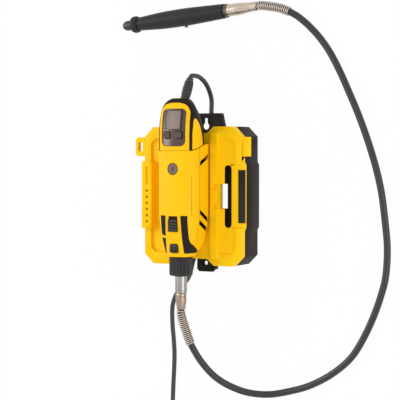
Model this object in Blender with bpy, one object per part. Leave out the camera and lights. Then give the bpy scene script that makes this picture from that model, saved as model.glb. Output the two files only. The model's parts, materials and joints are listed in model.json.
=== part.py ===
"""Rotary tool with a flexible shaft, lying on its back in its wall holder.

X runs across the holder, Y up the holder and Z out of its front. The holder's back is the plane Z = 0.
"""
import math

import bmesh
import bpy
from mathutils import Matrix, Vector

MM = 0.001
GAP = 0.3 * MM

# Holder: black shell behind, yellow tray in front
HOLDER_HALF_WIDTH = 67 * MM
HOLDER_HALF_HEIGHT = 84.5 * MM
HOLDER_RISE = 2.9 * MM
CORNER_CHAMFER = 12 * MM
NOTCH_INNER_HALF = 20 * MM
NOTCH_OUTER_HALF = 29 * MM
NOTCH_DEPTH = 8 * MM
SHELL_DEPTH = 35 * MM
SHELL_WALL = 3 * MM
BULGE = 2 * MM
BULGE_HALF_LENGTH = 38 * MM
POST_RADIUS = 7 * MM
TAB_BACK = 6.6 * MM
TAB_THICK = 3.4 * MM
TAB_FLANGE = 4 * MM
TOP_TAB_BASE_HALF = 26 * MM
TOP_TAB_TIP_HALF = 20 * MM
TOP_TAB_REACH = 17.1 * MM
KEYHOLE_HEAD_RADIUS = 4.4 * MM
KEYHOLE_SLOT_HALF = 2.4 * MM
KEYHOLE_SLOT_LENGTH = 10 * MM
KEYHOLE_BELOW_TIP = 16 * MM
LOW_TAB_HALF = 12.5 * MM
LOW_TAB_REACH = 10.9 * MM
LOW_TAB_CUT = 3 * MM
LOW_HOLE_RADIUS = 2.6 * MM
LOW_HOLE_OFFSET = 7.9 * MM
LEAD_ARCH_HALF = 6 * MM
LEAD_ARCH_HEIGHT = 6.4 * MM
LEAD_IN_X = 9 * MM
LEAD_OUT_X = -18 * MM

TRAY_DEPTH = 10.2 * MM
TRAY_FLOOR = 2.7 * MM
RIM_WIDTH = 9 * MM
RIM_END_WIDTH = 14.5 * MM
LEFT_RECESS = 3.5 * MM
RIGHT_RECESS = 1.8 * MM
RIB_WIDTH = 10 * MM
RIB_RISE = 4.5 * MM
RIB_CUT_DEPTH = 6.5 * MM
RIB_COLUMN_HALF = 9 * MM
CHANNEL_CLEARANCE = 1 * MM
PLINTH_WALL = 3 * MM
RACK_WIDTH = 14.5 * MM
RACK_LENGTH = 83 * MM
RACK_RISE = 8 * MM
RACK_CENTRE_Y = 0.8 * MM
BIT_HOLE_RADIUS = 1.7 * MM
BIT_HOLE_DEPTH = 12 * MM
BIT_HOLE_COUNT = 6
BIT_HOLE_PITCH = 7.6 * MM
FIRST_HOLE_OFFSET = 5 * MM
RACK_GROOVE_WIDTH = 2.2 * MM
RACK_GROOVE_LENGTH = 22 * MM
EAR_REACH = 13.5 * MM
EAR_HEIGHT = 23.5 * MM
EAR_THICK = 7.5 * MM
EAR_HOLE_WIDTH = 6 * MM
EAR_HOLE_HEIGHT = 11 * MM
EAR_ROUND = 4 * MM
EAR_CENTRE_Y = 60.1 * MM
STOP_TAB_REACH = 8.5 * MM
HAND_SLOT_WIDTH = 9.5 * MM
HAND_SLOT_LENGTH = 76 * MM
HAND_SLOT_X = 47.75 * MM
WING_PLATE = 2 * MM
WING_WALL = 3.5 * MM
THUMB_NOTCH_WIDTH = 6.2 * MM
THUMB_NOTCH_LENGTH = 30 * MM
BAR_RISE = 8 * MM
BAR_EDGE = 1.2 * MM
BAR_SLOPE_WIDTH = 8.6 * MM
LABEL_LENGTH = 64 * MM
LABEL_WIDTH = 8.8 * MM
LABEL_THICK = 0.8 * MM
SCREW_SIDE_INSET = 12 * MM
SCREW_END_INSET = 18.5 * MM
SCREW_RADIUS = 1.5 * MM
SCREW_HEAD_RADIUS = 3.2 * MM
SCREW_HEAD_THICK = 2.2 * MM
SCREW_BITE = 1.6 * MM

# Tool body: one axis along Y, nose at the low end
BODY_HALF_WIDTH = 25.5 * MM
BODY_FRONT = 21.3 * MM
BODY_REAR = 28.5 * MM
FRONT_POWER = 2.8
REAR_POWER = 8
BODY_WALL = 2.6 * MM
AXIS_Z = SHELL_DEPTH + GAP + TRAY_DEPTH + BODY_REAR
NOSE_Y = -69 * MM
NOSE_RADIUS = 15.5 * MM
FRONT_TOP_Y = 58 * MM
REAR_TOP_Y = 66 * MM
SEAM_FRONT = 14 * MM
SEAM_REAR = 16 * MM
CAP_TOP_Y = 121 * MM
SECTION_POINTS = 28

SCREEN_SIDE_MARGIN = 5.5 * MM
SCREEN_FRAME_TOP = 115.5 * MM
SCREEN_FRAME_WALL = 3 * MM
WINDOW_SIDE_MARGIN = 4.4 * MM
WINDOW_LOW_Y = 63.8 * MM
WINDOW_HIGH_Y = 108 * MM
WINDOW_SINK = 0.8 * MM
WINDOW_THICK = 2.6 * MM
LCD_HALF_WIDTH = 11.4 * MM
LCD_LOW_Y = 84 * MM
LCD_HIGH_Y = 106 * MM
LCD_THICK = 2 * MM
KEY_SIZE = 8 * MM
KEY_X = 8 * MM
KEY_Y = 77 * MM
KEY_TRAVEL = 0.8 * MM
BOARD_BELOW_FRONT = 9.6 * MM
BOARD_THICK = 1.6 * MM
INLAY_DEPTH = 1.8 * MM

BRUSH_Y = 36.5 * MM
BRUSH_CAP_RADIUS = 6.6 * MM
BRUSH_WIDTH = 5 * MM
BRUSH_HEIGHT = 7 * MM
BRUSH_LENGTH = 7.7 * MM
HOLDER_WALL = 1.2 * MM
COMMUTATOR_RADIUS = 9 * MM
COMMUTATOR_LENGTH = 12 * MM
STATOR_LOW_Y = -14 * MM
STATOR_HIGH_Y = 28 * MM
ARMATURE_RADIUS = 12.5 * MM
AIR_GAP = 0.8 * MM
SHAFT_RADIUS = 3 * MM
FAN_RADIUS = 15.5 * MM
FAN_Y = -24 * MM
FAN_THICK = 7 * MM
REAR_BEARING_RADIUS = 8 * MM
REAR_BEARING_WIDTH = 7 * MM
REAR_BEARING_Y = 52 * MM
FRONT_BEARING_RADIUS = 10.5 * MM
FRONT_BEARING_WIDTH = 9 * MM
FRONT_BEARING_Y = -42 * MM

SWITCH_WIDTH = 12 * MM
SWITCH_LENGTH = 14 * MM
SWITCH_Y = -31.2 * MM
SWITCH_TRAVEL = 4 * MM
SWITCH_PROUD = 2.2 * MM
SWITCH_SINK = 1.8 * MM
SWITCH_PLATE = 1.8 * MM
SWITCH_GROOVE = 1.1 * MM
LOCK_Y = -58.5 * MM
LOCK_SIZE = 10.5 * MM
LOCK_PROUD = 1.8 * MM
LOCK_TRAVEL = 2.5 * MM
LOCK_HEAD_SINK = 3 * MM
LOCK_STEM_RADIUS = 2 * MM
GRIP_DEPTH = 1.6 * MM
GRIP_HIGH_Y = -20 * MM
GRIP_LOW_Y = -64 * MM
GRIP_INNER_HIGH = 10.3 * MM
GRIP_INNER_LOW = 12 * MM
GRIP_OUTER = 17.8 * MM
VENT_WIDTH = 5 * MM

NUT_RADIUS = 14.3 * MM
NUT_LENGTH = 23 * MM
NUT_RIBS = 20
NUT_RIB_HEIGHT = 0.8 * MM
NUT_END_WALL = 3.5 * MM
COLLAR_RADIUS = 9.2 * MM
COLLAR_BORE = 5 * MM
COLLAR_SEAT = 5 * MM
CORE_RADIUS = 2.2 * MM
FERRULE_NECK_RADIUS = 6 * MM
FERRULE_LIP = 2.2 * MM
FERRULE_RADIUS = 7.3 * MM
FERRULE_LENGTH = 20.7 * MM
CRIMP_RADIUS = 6.6 * MM
CRIMP_END_RADIUS = 4.9 * MM
CRIMP_LENGTH = 20.2 * MM

# Flexible shaft, from the crimp sleeve round to the handpiece
SHEATH_RADIUS = 4.2 * MM
SHEATH_STEP = 14 * MM
END_STRAIGHT = 3 * MM
SPRING_WIRE = 0.85 * MM
SPRING_TURNS = 14
SPRING_LENGTH = 43 * MM
CURL_POINTS = 9
FLEX_ROUTE_MM = [
    (2.4, -154, 70), (7.5, -177.5, 62), (16.5, -200, 51), (28.5, -218.5, 38.5), (44, -231, 26),
    (63, -238.5, 15.5), (88, -239.5, 8.5), (117, -233, 5), (141, -224.5, 4.3), (167.5, -209.5, 4.3),
    (191, -189.5, 4.3), (206.5, -166.5, 4.3), (220.5, -137.5, 4.3), (230.5, -109.5, 4.3), (235.7, -87.5, 4.3),
    (237.3, -56, 4.3), (234.2, -23, 4.3), (229.6, 9.7, 4.3), (222.5, 39, 4.3), (211.7, 72, 4.3),
    (199.3, 103.5, 4.3), (184.5, 136, 4.3), (175, 155.5, 4.3), (164.3, 174.5, 4.3), (153.7, 189.5, 4.5),
    (143.2, 201.5, 5.2), (131.8, 212.5, 6.5), (119, 222, 8), (101, 230, 9.8),
]

# Handpiece, lying on the same surface
HANDPIECE_REAR_X = 27 * MM
HANDPIECE_REAR_Y = 229.5 * MM
HANDPIECE_TURN = math.radians(185.2)
HANDPIECE_RADIUS = 11 * MM
HANDPIECE_REAR_RADIUS = 9 * MM
HANDPIECE_NECK_RADIUS = 8.2 * MM
HANDPIECE_LENGTH = 122 * MM
HANDPIECE_BORE = 6.5 * MM
FLANGE_RADIUS = 10.6 * MM
FLANGE_LENGTH = 9 * MM
FLANGE_BORE = 4 * MM
SPINDLE_RADIUS = 2.6 * MM
COLLET_NUT_RADIUS = 6.2 * MM
COLLET_NUT_LENGTH = 12.5 * MM
SMALL_BEARING_WIDTH = 5 * MM
SMALL_BEARING_INSET = 12 * MM
SHANK_RADIUS = 1.6 * MM
SHANK_DEPTH = 25 * MM
RING_LENGTH = 5 * MM
RING_RADIUS = 8.6 * MM
SLEEVE_LENGTH = 38.7 * MM
SLEEVE_REAR_RADIUS = 5.9 * MM
PIN_RADIUS = 2 * MM
PIN_PROUD = 2.2 * MM
PIN_TRAVEL = 1.8 * MM
PIN_FROM_REAR = 55 * MM

# Mains lead, its coil and its plug
LEAD_RADIUS = 2.9 * MM
LEAD_STEP = 14 * MM
RELIEF_BASE_RADIUS = 5.6 * MM
RELIEF_TIP_RADIUS = 4 * MM
RELIEF_LENGTH = 31.8 * MM
RELIEF_SEAT = 3 * MM
RELIEF_BELOW_AXIS = 8.5 * MM
RELIEF_PITCH = math.radians(-28.2)
LEAD_ROUTE_MM = [
    (1.2, 149.5, 43.5), (3, 148.5, 34), (4.6, 142.5, 21.5), (5.2, 133, 11.5), (5.2, 121, 4.6), (4.2, 105, 3),
    (6, 92, 3), (9, 77, 3), (13, 45, 3), (14.5, 5, 3), (9, -35, 3), (-10, -60, 3), (-20.5, -77, 3), (-28, -101, 3),
    (-43, -119, 3), (-51, -137, 3), (-51.5, -160, 3), (-49.5, -182, 3), (-48.5, -200, 3), (-49.3, -223, 3),
    (-50.5, -245, 3), (-51, -268, 3.4), (-51, -292, 4), (-51, -312, 4.4),
]
COIL_OUTER_RADIUS = 45 * MM
COIL_PITCH = 6.6 * MM
COIL_INWARD_TURNS = 3
COIL_OUTWARD_TURNS = 2.75
COIL_DIP = 2 * MM
COIL_LAYER_RISE = 6.6 * MM
COIL_TURN_POINTS = 24
TIE_THICK = 1.2 * MM
TIE_WIDTH = 12 * MM
COIL_TAIL = 36 * MM
PLUG_LENGTH = 40 * MM
PLUG_HALF_WIDTH = 17.5 * MM
PLUG_REAR_HALF_WIDTH = 8 * MM
PLUG_HALF_THICK = 7 * MM
PLUG_PIN_RADIUS = 2 * MM
PLUG_PIN_LENGTH = 19 * MM
PLUG_PIN_SPACING = 18.6 * MM

# Sizes that follow from the ones above
TRAY_BACK = SHELL_DEPTH + GAP
TRAY_TOP = TRAY_BACK + TRAY_DEPTH
FLOOR_TOP = TRAY_BACK + TRAY_FLOOR
PLINTH_TOP = AXIS_Z - BODY_REAR - GAP
RIB_INNER = BODY_HALF_WIDTH + CHANNEL_CLEARANCE
RIB_OUTER = RIB_INNER + RIB_WIDTH
FRONT_Z = AXIS_Z + BODY_FRONT
SCREW_X = HOLDER_HALF_WIDTH - SCREW_SIDE_INSET
SCREW_Y = HOLDER_HALF_HEIGHT - SCREW_END_INSET
SCREEN_FRAME_HALF = BODY_HALF_WIDTH - SCREEN_SIDE_MARGIN
WINDOW_HALF_WIDTH = SCREEN_FRAME_HALF - WINDOW_SIDE_MARGIN
NUT_TOP_Y = NOSE_Y - GAP
NUT_END_Y = NUT_TOP_Y - NUT_LENGTH
FERRULE_END_Y = NUT_END_Y - FERRULE_LENGTH
CRIMP_TOP_Y = FERRULE_END_Y - GAP
CRIMP_END_Y = CRIMP_TOP_Y - CRIMP_LENGTH
COIL_LOW_Z = TIE_THICK + GAP + LEAD_RADIUS

# Directions and frames: ACROSS extrudes along the holder, SIDEWAYS through its sides
OUT = Vector((0, 0, 1))
AXIS_UP = Vector((0, 1, 0))
AXIS_DOWN = Vector((0, -1, 0))
ACROSS = Matrix(((1, 0, 0, 0), (0, 0, -1, 0), (0, 1, 0, 0), (0, 0, 0, 1)))
SIDEWAYS = Matrix(((0, 0, 1, 0), (1, 0, 0, 0), (0, 1, 0, 0), (0, 0, 0, 1)))


def clear_scene():
    for obj in list(bpy.data.objects):
        bpy.data.objects.remove(obj, do_unlink=True)


def finish_material(name, colour, roughness, metallic=0.0):
    material = bpy.data.materials.new(name)
    material.use_nodes = True
    shader = material.node_tree.nodes["Principled BSDF"]
    shader.inputs["Base Color"].default_value = (*colour, 1)
    shader.inputs["Roughness"].default_value = roughness
    shader.inputs["Metallic"].default_value = metallic
    return material


def as_object(bm, name="shape"):
    mesh = bpy.data.meshes.new(name)
    bm.to_mesh(mesh)
    bm.free()
    obj = bpy.data.objects.new(name, mesh)
    bpy.context.collection.objects.link(obj)
    return obj


def combine(target, tool, operation="DIFFERENCE"):
    """Apply one Boolean to target with the object tool, then remove tool."""
    modifier = target.modifiers.new(operation, "BOOLEAN")
    modifier.operation = operation
    modifier.object = tool
    depsgraph = bpy.context.evaluated_depsgraph_get()
    mesh = bpy.data.meshes.new_from_object(target.evaluated_get(depsgraph))
    target.modifiers.clear()
    target.data = mesh
    bpy.data.objects.remove(tool, do_unlink=True)
    return target


def finish(obj, name, material, smooth_degrees=30):
    """Clean the mesh of a finished piece, name it and give it its material."""
    bm = bmesh.new()
    bm.from_mesh(obj.data)
    bmesh.ops.remove_doubles(bm, verts=bm.verts, dist=0.000002)
    bmesh.ops.dissolve_limit(bm, angle_limit=math.radians(0.3), verts=bm.verts, edges=bm.edges)
    bmesh.ops.triangulate(bm, faces=[face for face in bm.faces if len(face.verts) > 4])
    bm.to_mesh(obj.data)
    bm.free()
    obj.data.materials.clear()
    obj.data.materials.append(material)
    obj.data.shade_smooth()
    obj.data.set_sharp_from_angle(angle=math.radians(smooth_degrees))
    obj.name = name
    obj.data.name = name
    return obj


def place_origin(obj, point):
    """Move an object's origin to a point without moving its mesh."""
    obj.data.transform(Matrix.Translation(-Vector(point)))
    obj.location = point
    return obj


def raised(obj):
    """Set a holder piece at the holder's height beside the tool."""
    obj.location.y = HOLDER_RISE
    return obj


def prism(outline, low, high, frame=Matrix.Identity(4)):
    """Extrude a closed outline of (x, y) points from low to high along the frame's Z."""
    bm = bmesh.new()
    face = bm.faces.new([bm.verts.new((x, y, low)) for x, y in outline])
    grown = bmesh.ops.extrude_face_region(bm, geom=[face])
    top = [item for item in grown["geom"] if isinstance(item, bmesh.types.BMVert)]
    bmesh.ops.translate(bm, verts=top, vec=(0, 0, high - low))
    bmesh.ops.recalc_face_normals(bm, faces=bm.faces)
    bm.transform(frame)
    return as_object(bm)


def block(x, y, z):
    """A box from three (low, high) pairs."""
    return prism([(x[0], y[0]), (x[1], y[0]), (x[1], y[1]), (x[0], y[1])], z[0], z[1])


def turned(profile, origin, direction, segments=24, hollow=False):
    """Spin a profile of (radius, distance along) points about an axis."""
    bm = bmesh.new()
    verts = [bm.verts.new((radius, 0, along)) for radius, along in profile]
    edges = [bm.edges.new(pair) for pair in zip(verts, verts[1:])]
    if hollow:
        edges.append(bm.edges.new((verts[-1], verts[0])))
    bmesh.ops.spin(bm, geom=verts + edges, cent=(0, 0, 0), axis=(0, 0, 1), angle=2 * math.pi,
                   steps=segments, use_merge=True)
    bmesh.ops.remove_doubles(bm, verts=bm.verts, dist=0.000001)
    bmesh.ops.recalc_face_normals(bm, faces=bm.faces)
    turn = Vector((0, 0, 1)).rotation_difference(direction).to_matrix().to_4x4()
    bm.transform(Matrix.Translation(origin) @ turn)
    return as_object(bm)


def rod(radius, origin, direction, length, segments=24):
    return turned([(0, 0), (radius, 0), (radius, length), (0, length)], origin, direction, segments)


def tube(inner, outer, origin, direction, length, segments=24):
    profile = [(inner, 0), (outer, 0), (outer, length), (inner, length)]
    return turned(profile, origin, direction, segments, hollow=True)


def skin(rings):
    """Close a solid over rings that each have the same number of points."""
    bm = bmesh.new()
    loops = [[bm.verts.new(point) for point in ring] for ring in rings]
    for lower, upper in zip(loops, loops[1:]):
        for index in range(len(lower)):
            after = (index + 1) % len(lower)
            bm.faces.new((lower[index], lower[after], upper[after], upper[index]))
    bm.faces.new(loops[0])
    bm.faces.new(loops[-1])
    bmesh.ops.recalc_face_normals(bm, faces=bm.faces)
    return as_object(bm)


def rounded(half_width, half_height, radius, centre=(0, 0), corner_points=4):
    """A rounded rectangle outline."""
    outline = []
    for quarter, (side_x, side_y) in enumerate([(1, 1), (-1, 1), (-1, -1), (1, -1)]):
        for step in range(corner_points + 1):
            angle = math.pi / 2 * (quarter + step / corner_points)
            outline.append((centre[0] + side_x * (half_width - radius) + radius * math.cos(angle),
                            centre[1] + side_y * (half_height - radius) + radius * math.sin(angle)))
    return outline


def grown(outline, distance):
    """Move every edge of a closed outline outwards by a distance."""
    points = [Vector(point) for point in outline]
    area = sum(start.cross(end) for start, end in zip(points, points[1:] + points[:1]))
    turn = math.copysign(1, area)
    normals = []
    for start, end in zip(points, points[1:] + points[:1]):
        heading = (end - start).normalized()
        normals.append(Vector((heading.y, -heading.x)) * turn)
    moved = []
    for point, before, after in zip(points, normals[-1:] + normals, normals):
        moved.append(point + (before + after) * distance / (1 + before.dot(after)))
    return moved


def vector_mm(point):
    return Vector(point) * MM


# Holder
def holder_outline(inset=0.0):
    """The holder's front outline: cut corners, a notch at each end and a bulge on the grip side."""
    half_x = HOLDER_HALF_WIDTH - inset
    half_y = HOLDER_HALF_HEIGHT - inset
    cut = CORNER_CHAMFER - inset * (2 - math.sqrt(2))
    inner = NOTCH_INNER_HALF + inset / 2
    outer = NOTCH_OUTER_HALF + inset / 2
    notch = half_y - NOTCH_DEPTH
    bulge = BULGE_HALF_LENGTH - inset
    corner = [(half_x, half_y - cut), (half_x - cut, half_y), (outer, half_y), (inner, notch)]
    grip = [(half_x, bulge + 2 * BULGE), (half_x + BULGE, bulge)]
    upper_right = grip[::-1] + corner
    lower_right = [(x, -y) for x, y in upper_right][::-1]
    left = [(-x, y) for x, y in corner[::-1]] + [(-x, -y) for x, y in corner]
    return lower_right + upper_right + left


def notch_y():
    return HOLDER_HALF_HEIGHT - NOTCH_DEPTH


def thumb_notch_x():
    right = HAND_SLOT_X - HAND_SLOT_WIDTH / 2
    return right - THUMB_NOTCH_WIDTH, right


def screw_places():
    return [(side * SCREW_X, end * SCREW_Y) for side in (-1, 1) for end in (-1, 1)]


def tab(points, flanges):
    """A wall tab: a plate held off the wall by a flange along each side."""
    plate = prism(points, TAB_BACK, TAB_BACK + TAB_THICK)
    for flange in flanges:
        combine(plate, prism(flange, 0, TAB_BACK + TAB_THICK / 2), "UNION")
    return plate


def top_tab():
    root = notch_y() - SHELL_WALL / 2
    tip = HOLDER_HALF_HEIGHT + TOP_TAB_REACH
    base = TOP_TAB_BASE_HALF
    end = TOP_TAB_TIP_HALF
    points = [(base, root), (end, tip), (-end, tip), (-base, root)]
    right = [(base, root), (end, tip), (end - TAB_FLANGE, tip), (base - TAB_FLANGE, root)]
    left = [(-x, y) for x, y in right[::-1]]
    plate = tab(points, [right, left])
    head_y = tip - KEYHOLE_BELOW_TIP
    depth = TAB_BACK + 2 * TAB_THICK
    combine(plate, rod(KEYHOLE_HEAD_RADIUS, (0, head_y, 0), OUT, depth))
    slot = (-KEYHOLE_SLOT_HALF, KEYHOLE_SLOT_HALF)
    return combine(plate, block(slot, (head_y, head_y + KEYHOLE_SLOT_LENGTH), (0, depth)))


def low_tab():
    root = SHELL_WALL / 2 - notch_y()
    tip = -HOLDER_HALF_HEIGHT - LOW_TAB_REACH
    half = LOW_TAB_HALF
    shoulder = tip + LOW_TAB_CUT
    points = [(LOW_TAB_CUT - half, tip), (half - LOW_TAB_CUT, tip), (half, shoulder), (half, root),
              (-half, root), (-half, shoulder)]
    inner = half - TAB_FLANGE
    right = [(inner, shoulder), (half, shoulder), (half, root), (inner, root)]
    left = [(-x, y) for x, y in right[::-1]]
    plate = tab(points, [right, left])
    hole_y = -notch_y() - LOW_HOLE_OFFSET
    return combine(plate, rod(LOW_HOLE_RADIUS, (0, hole_y, 0), OUT, TAB_BACK + 2 * TAB_THICK))


def wall_shell(material):
    plate_back = SHELL_DEPTH - SHELL_WALL
    shell = prism(holder_outline(), 0, SHELL_DEPTH)
    combine(shell, prism(holder_outline(SHELL_WALL), -SHELL_WALL, plate_back))
    combine(shell, rod(POST_RADIUS, (0, 0, 0), OUT, SHELL_DEPTH - SHELL_WALL / 2), "UNION")
    combine(shell, top_tab(), "UNION")
    combine(shell, low_tab(), "UNION")
    through = (plate_back - SHELL_WALL, SHELL_DEPTH + SHELL_WALL)
    left, right = thumb_notch_x()
    half = THUMB_NOTCH_LENGTH / 2
    combine(shell, block((left - THUMB_NOTCH_WIDTH, right), (-half, half), through))
    wall_reach = 2 * SHELL_WALL
    wall_y = notch_y() - SHELL_WALL / 2
    for arch_x, arch_y in [(LEAD_IN_X, wall_y), (LEAD_OUT_X, -wall_y)]:
        across = (arch_x - LEAD_ARCH_HALF, arch_x + LEAD_ARCH_HALF)
        along = (arch_y - wall_reach, arch_y + wall_reach)
        combine(shell, block(across, along, (-SHELL_WALL, LEAD_ARCH_HEIGHT)))
    for x, y in screw_places():
        combine(shell, rod(SCREW_RADIUS + GAP, (x, y, through[0]), OUT, 3 * SHELL_WALL, 12))
    return raised(finish(shell, "wall_shell", material))


def wing_recess(side):
    """The shallow pocket in one wing, cut to the outline of the rim."""
    outer = HOLDER_HALF_WIDTH - RIM_WIDTH
    high = HOLDER_HALF_HEIGHT - RIM_END_WIDTH
    cut = CORNER_CHAMFER / 2
    points = [(RIB_OUTER, -high), (outer - cut, -high), (outer, cut - high), (outer, high - cut),
              (outer - cut, high), (RIB_OUTER, high)]
    depth = RIGHT_RECESS
    if side < 0:
        points = [(-x, y) for x, y in points[::-1]]
        depth = LEFT_RECESS
    return prism(points, TRAY_TOP - depth, TRAY_TOP + TRAY_DEPTH)


def grip_bar():
    """The right-hand bar, with a sloped outer face for the label."""
    left = HAND_SLOT_X + HAND_SLOT_WIDTH / 2
    edge = HOLDER_HALF_WIDTH + BULGE
    top = TRAY_BACK + BAR_RISE
    points = [(left, TRAY_BACK), (edge, TRAY_BACK), (edge, TRAY_BACK + BAR_EDGE),
              (edge - BAR_SLOPE_WIDTH, top), (left, top)]
    return prism(points, -BULGE_HALF_LENGTH, BULGE_HALF_LENGTH, ACROSS)


def front_tray(material):
    tray = prism(holder_outline(), TRAY_BACK, TRAY_TOP)
    for side in (-1, 1):
        combine(tray, wing_recess(side))
    bar_left = HAND_SLOT_X + HAND_SLOT_WIDTH / 2
    bar_space = (bar_left, HOLDER_HALF_WIDTH + 2 * BULGE)
    bar_half = BULGE_HALF_LENGTH
    combine(tray, block(bar_space, (-bar_half, bar_half), (TRAY_BACK + BAR_EDGE, TRAY_TOP + TRAY_DEPTH)))
    combine(tray, grip_bar(), "UNION")
    rib_top = TRAY_TOP + RIB_RISE
    length = (-notch_y(), notch_y())
    combine(tray, block((-RIB_INNER, RIB_INNER), length, (FLOOR_TOP, PLINTH_TOP)), "UNION")
    for side in (-1, 1):
        across = sorted((side * RIB_OUTER, side * (RIB_INNER - GAP)))
        rib = block(across, length, (FLOOR_TOP, rib_top))
        combine(rib, block((-RIB_INNER, RIB_INNER), length, (PLINTH_TOP, 2 * rib_top)))
        combine(tray, rib, "UNION")
    cut_x = (RIB_OUTER - RIB_CUT_DEPTH, RIB_OUTER + GAP)
    for end in (-1, 1):
        cut_y = sorted((end * RIB_COLUMN_HALF, end * THUMB_NOTCH_LENGTH / 2))
        combine(tray, block(cut_x, cut_y, (TRAY_TOP, 2 * rib_top)))
    hollow_x = RIB_OUTER - PLINTH_WALL
    hollow_y = notch_y() - PLINTH_WALL
    combine(tray, block((-hollow_x, hollow_x), (-hollow_y, hollow_y), (0, PLINTH_TOP - PLINTH_WALL)))
    rack_x = (-HOLDER_HALF_WIDTH, RACK_WIDTH - HOLDER_HALF_WIDTH)
    rack_y = (RACK_CENTRE_Y - RACK_LENGTH / 2, RACK_CENTRE_Y + RACK_LENGTH / 2)
    rack_top = TRAY_TOP + RACK_RISE
    combine(tray, block(rack_x, rack_y, (FLOOR_TOP - GAP, rack_top)), "UNION")
    row_x = sum(rack_x) / 2
    first = RACK_CENTRE_Y + FIRST_HOLE_OFFSET
    for index in range(BIT_HOLE_COUNT):
        place = (row_x, first - index * BIT_HOLE_PITCH, rack_top - BIT_HOLE_DEPTH)
        combine(tray, rod(BIT_HOLE_RADIUS, place, OUT, 2 * BIT_HOLE_DEPTH, 10))
    groove_low = first + BIT_HOLE_PITCH
    groove_x = (row_x - RACK_GROOVE_WIDTH / 2, row_x + RACK_GROOVE_WIDTH / 2)
    groove_y = (groove_low, groove_low + RACK_GROOVE_LENGTH)
    combine(tray, block(groove_x, groove_y, (rack_top - RACK_GROOVE_WIDTH, 2 * rack_top)))
    ear_y = (EAR_CENTRE_Y - EAR_HEIGHT / 2, EAR_CENTRE_Y + EAR_HEIGHT / 2)
    ear_centre = -HOLDER_HALF_WIDTH - EAR_REACH / 2
    root = RIM_WIDTH / 3
    ear_outline = rounded(EAR_REACH / 2 + root, EAR_HEIGHT / 2, EAR_ROUND, (ear_centre + root, EAR_CENTRE_Y))
    combine(tray, prism(ear_outline, TRAY_TOP - EAR_THICK, TRAY_TOP - 2 * GAP), "UNION")
    hole = rounded(EAR_HOLE_WIDTH / 2, EAR_HOLE_HEIGHT / 2, MM, (ear_centre, EAR_CENTRE_Y), 2)
    combine(tray, prism(hole, 0, 2 * TRAY_TOP))
    stop_x = (HOLDER_HALF_WIDTH - RIM_WIDTH / 3, HOLDER_HALF_WIDTH + STOP_TAB_REACH)
    combine(tray, block(stop_x, ear_y, (TRAY_BACK + 2 * GAP, TRAY_BACK + EAR_THICK)), "UNION")
    slot = rounded(HAND_SLOT_WIDTH / 2, HAND_SLOT_LENGTH / 2, HAND_SLOT_WIDTH / 2 - GAP, (HAND_SLOT_X, 0))
    combine(tray, prism(slot, 0, 2 * TRAY_TOP))
    under_x = (RIB_OUTER - PLINTH_WALL + WING_WALL, HAND_SLOT_X)
    under_y = HAND_SLOT_LENGTH / 2 - MM
    combine(tray, block(under_x, (-under_y, under_y), (0, TRAY_TOP - RIGHT_RECESS - WING_PLATE)))
    left, right = thumb_notch_x()
    half = THUMB_NOTCH_LENGTH / 2
    combine(tray, block((left, right + HAND_SLOT_WIDTH / 2), (-half, half), (0, 2 * TRAY_TOP)))
    for x, y in screw_places():
        start = (x, y, TRAY_BACK - SHELL_WALL)
        combine(tray, rod(SCREW_RADIUS + GAP, start, OUT, SHELL_WALL + SCREW_BITE + GAP, 12))
    return raised(finish(tray, "front_tray", material))


def label_plate(material):
    """A bare plate on the sloped face of the grip bar."""
    edge = Vector((HOLDER_HALF_WIDTH + BULGE, TRAY_BACK + BAR_EDGE))
    crest = Vector((edge.x - BAR_SLOPE_WIDTH, TRAY_BACK + BAR_RISE))
    along = (crest - edge).normalized()
    out = Vector((along.y, -along.x))
    middle = (edge + crest) / 2 + out * GAP
    half = along * LABEL_WIDTH / 2
    rise = out * LABEL_THICK
    points = [middle - half, middle - half + rise, middle + half + rise, middle + half]
    plate = prism([tuple(point) for point in points], -LABEL_LENGTH / 2, LABEL_LENGTH / 2, ACROSS)
    return raised(finish(plate, "label_plate", material))


def tray_screws(material):
    head_top = SHELL_DEPTH - SHELL_WALL - GAP
    tip = TRAY_BACK + SCREW_BITE
    profile = [(0, head_top - SCREW_HEAD_THICK), (SCREW_HEAD_RADIUS, head_top - SCREW_HEAD_THICK),
               (SCREW_HEAD_RADIUS, head_top), (SCREW_RADIUS, head_top), (SCREW_RADIUS, tip), (0, tip)]
    for index, (x, y) in enumerate(screw_places(), 1):
        raised(finish(turned(profile, (x, y, 0), OUT, 12), f"tray_screw_{index}", material))


# Tool housing
def squared(value, power):
    """A coordinate of a squared oval, from the same coordinate of the unit circle."""
    return math.copysign(abs(value) ** (2 / power), value)


def section(y, half_width, front, rear, inset=0.0, rear_power=FRONT_POWER, lift=0.0):
    """One ring of the tool body: a squared oval whose front and rear halves differ."""
    ring = []
    for index in range(SECTION_POINTS):
        angle = 2 * math.pi * index / SECTION_POINTS
        across, out = math.cos(angle), math.sin(angle)
        depth, power = (front, FRONT_POWER) if out > 0 else (rear, rear_power)
        x = squared(across, power) * (half_width - inset)
        z = squared(out, power) * (depth - inset)
        ring.append((x, y, AXIS_Z + lift + z))
    return ring


# Growth of the body from its nose: reach, share of the full width and front, share of the full rear
TAPER = [(0, 0, 0), (5 * MM, 0.17, 0.09), (9 * MM, 0.29, 0.57), (13 * MM, 0.38, 0.83), (24 * MM, 0.64, 0.96),
         (43 * MM, 0.93, 1), (61 * MM, 1, 1)]


def body_shares(y):
    """How far the front and the rear of the body have grown from the nose, 0, to full size, 1."""
    reach = y - NOSE_Y
    for (low, *low_shares), (high, *high_shares) in zip(TAPER, TAPER[1:]):
        if reach <= high:
            along = max(reach - low, 0) / (high - low)
            return [start + (end - start) * along for start, end in zip(low_shares, high_shares)]
    return [1.0, 1.0]


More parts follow.
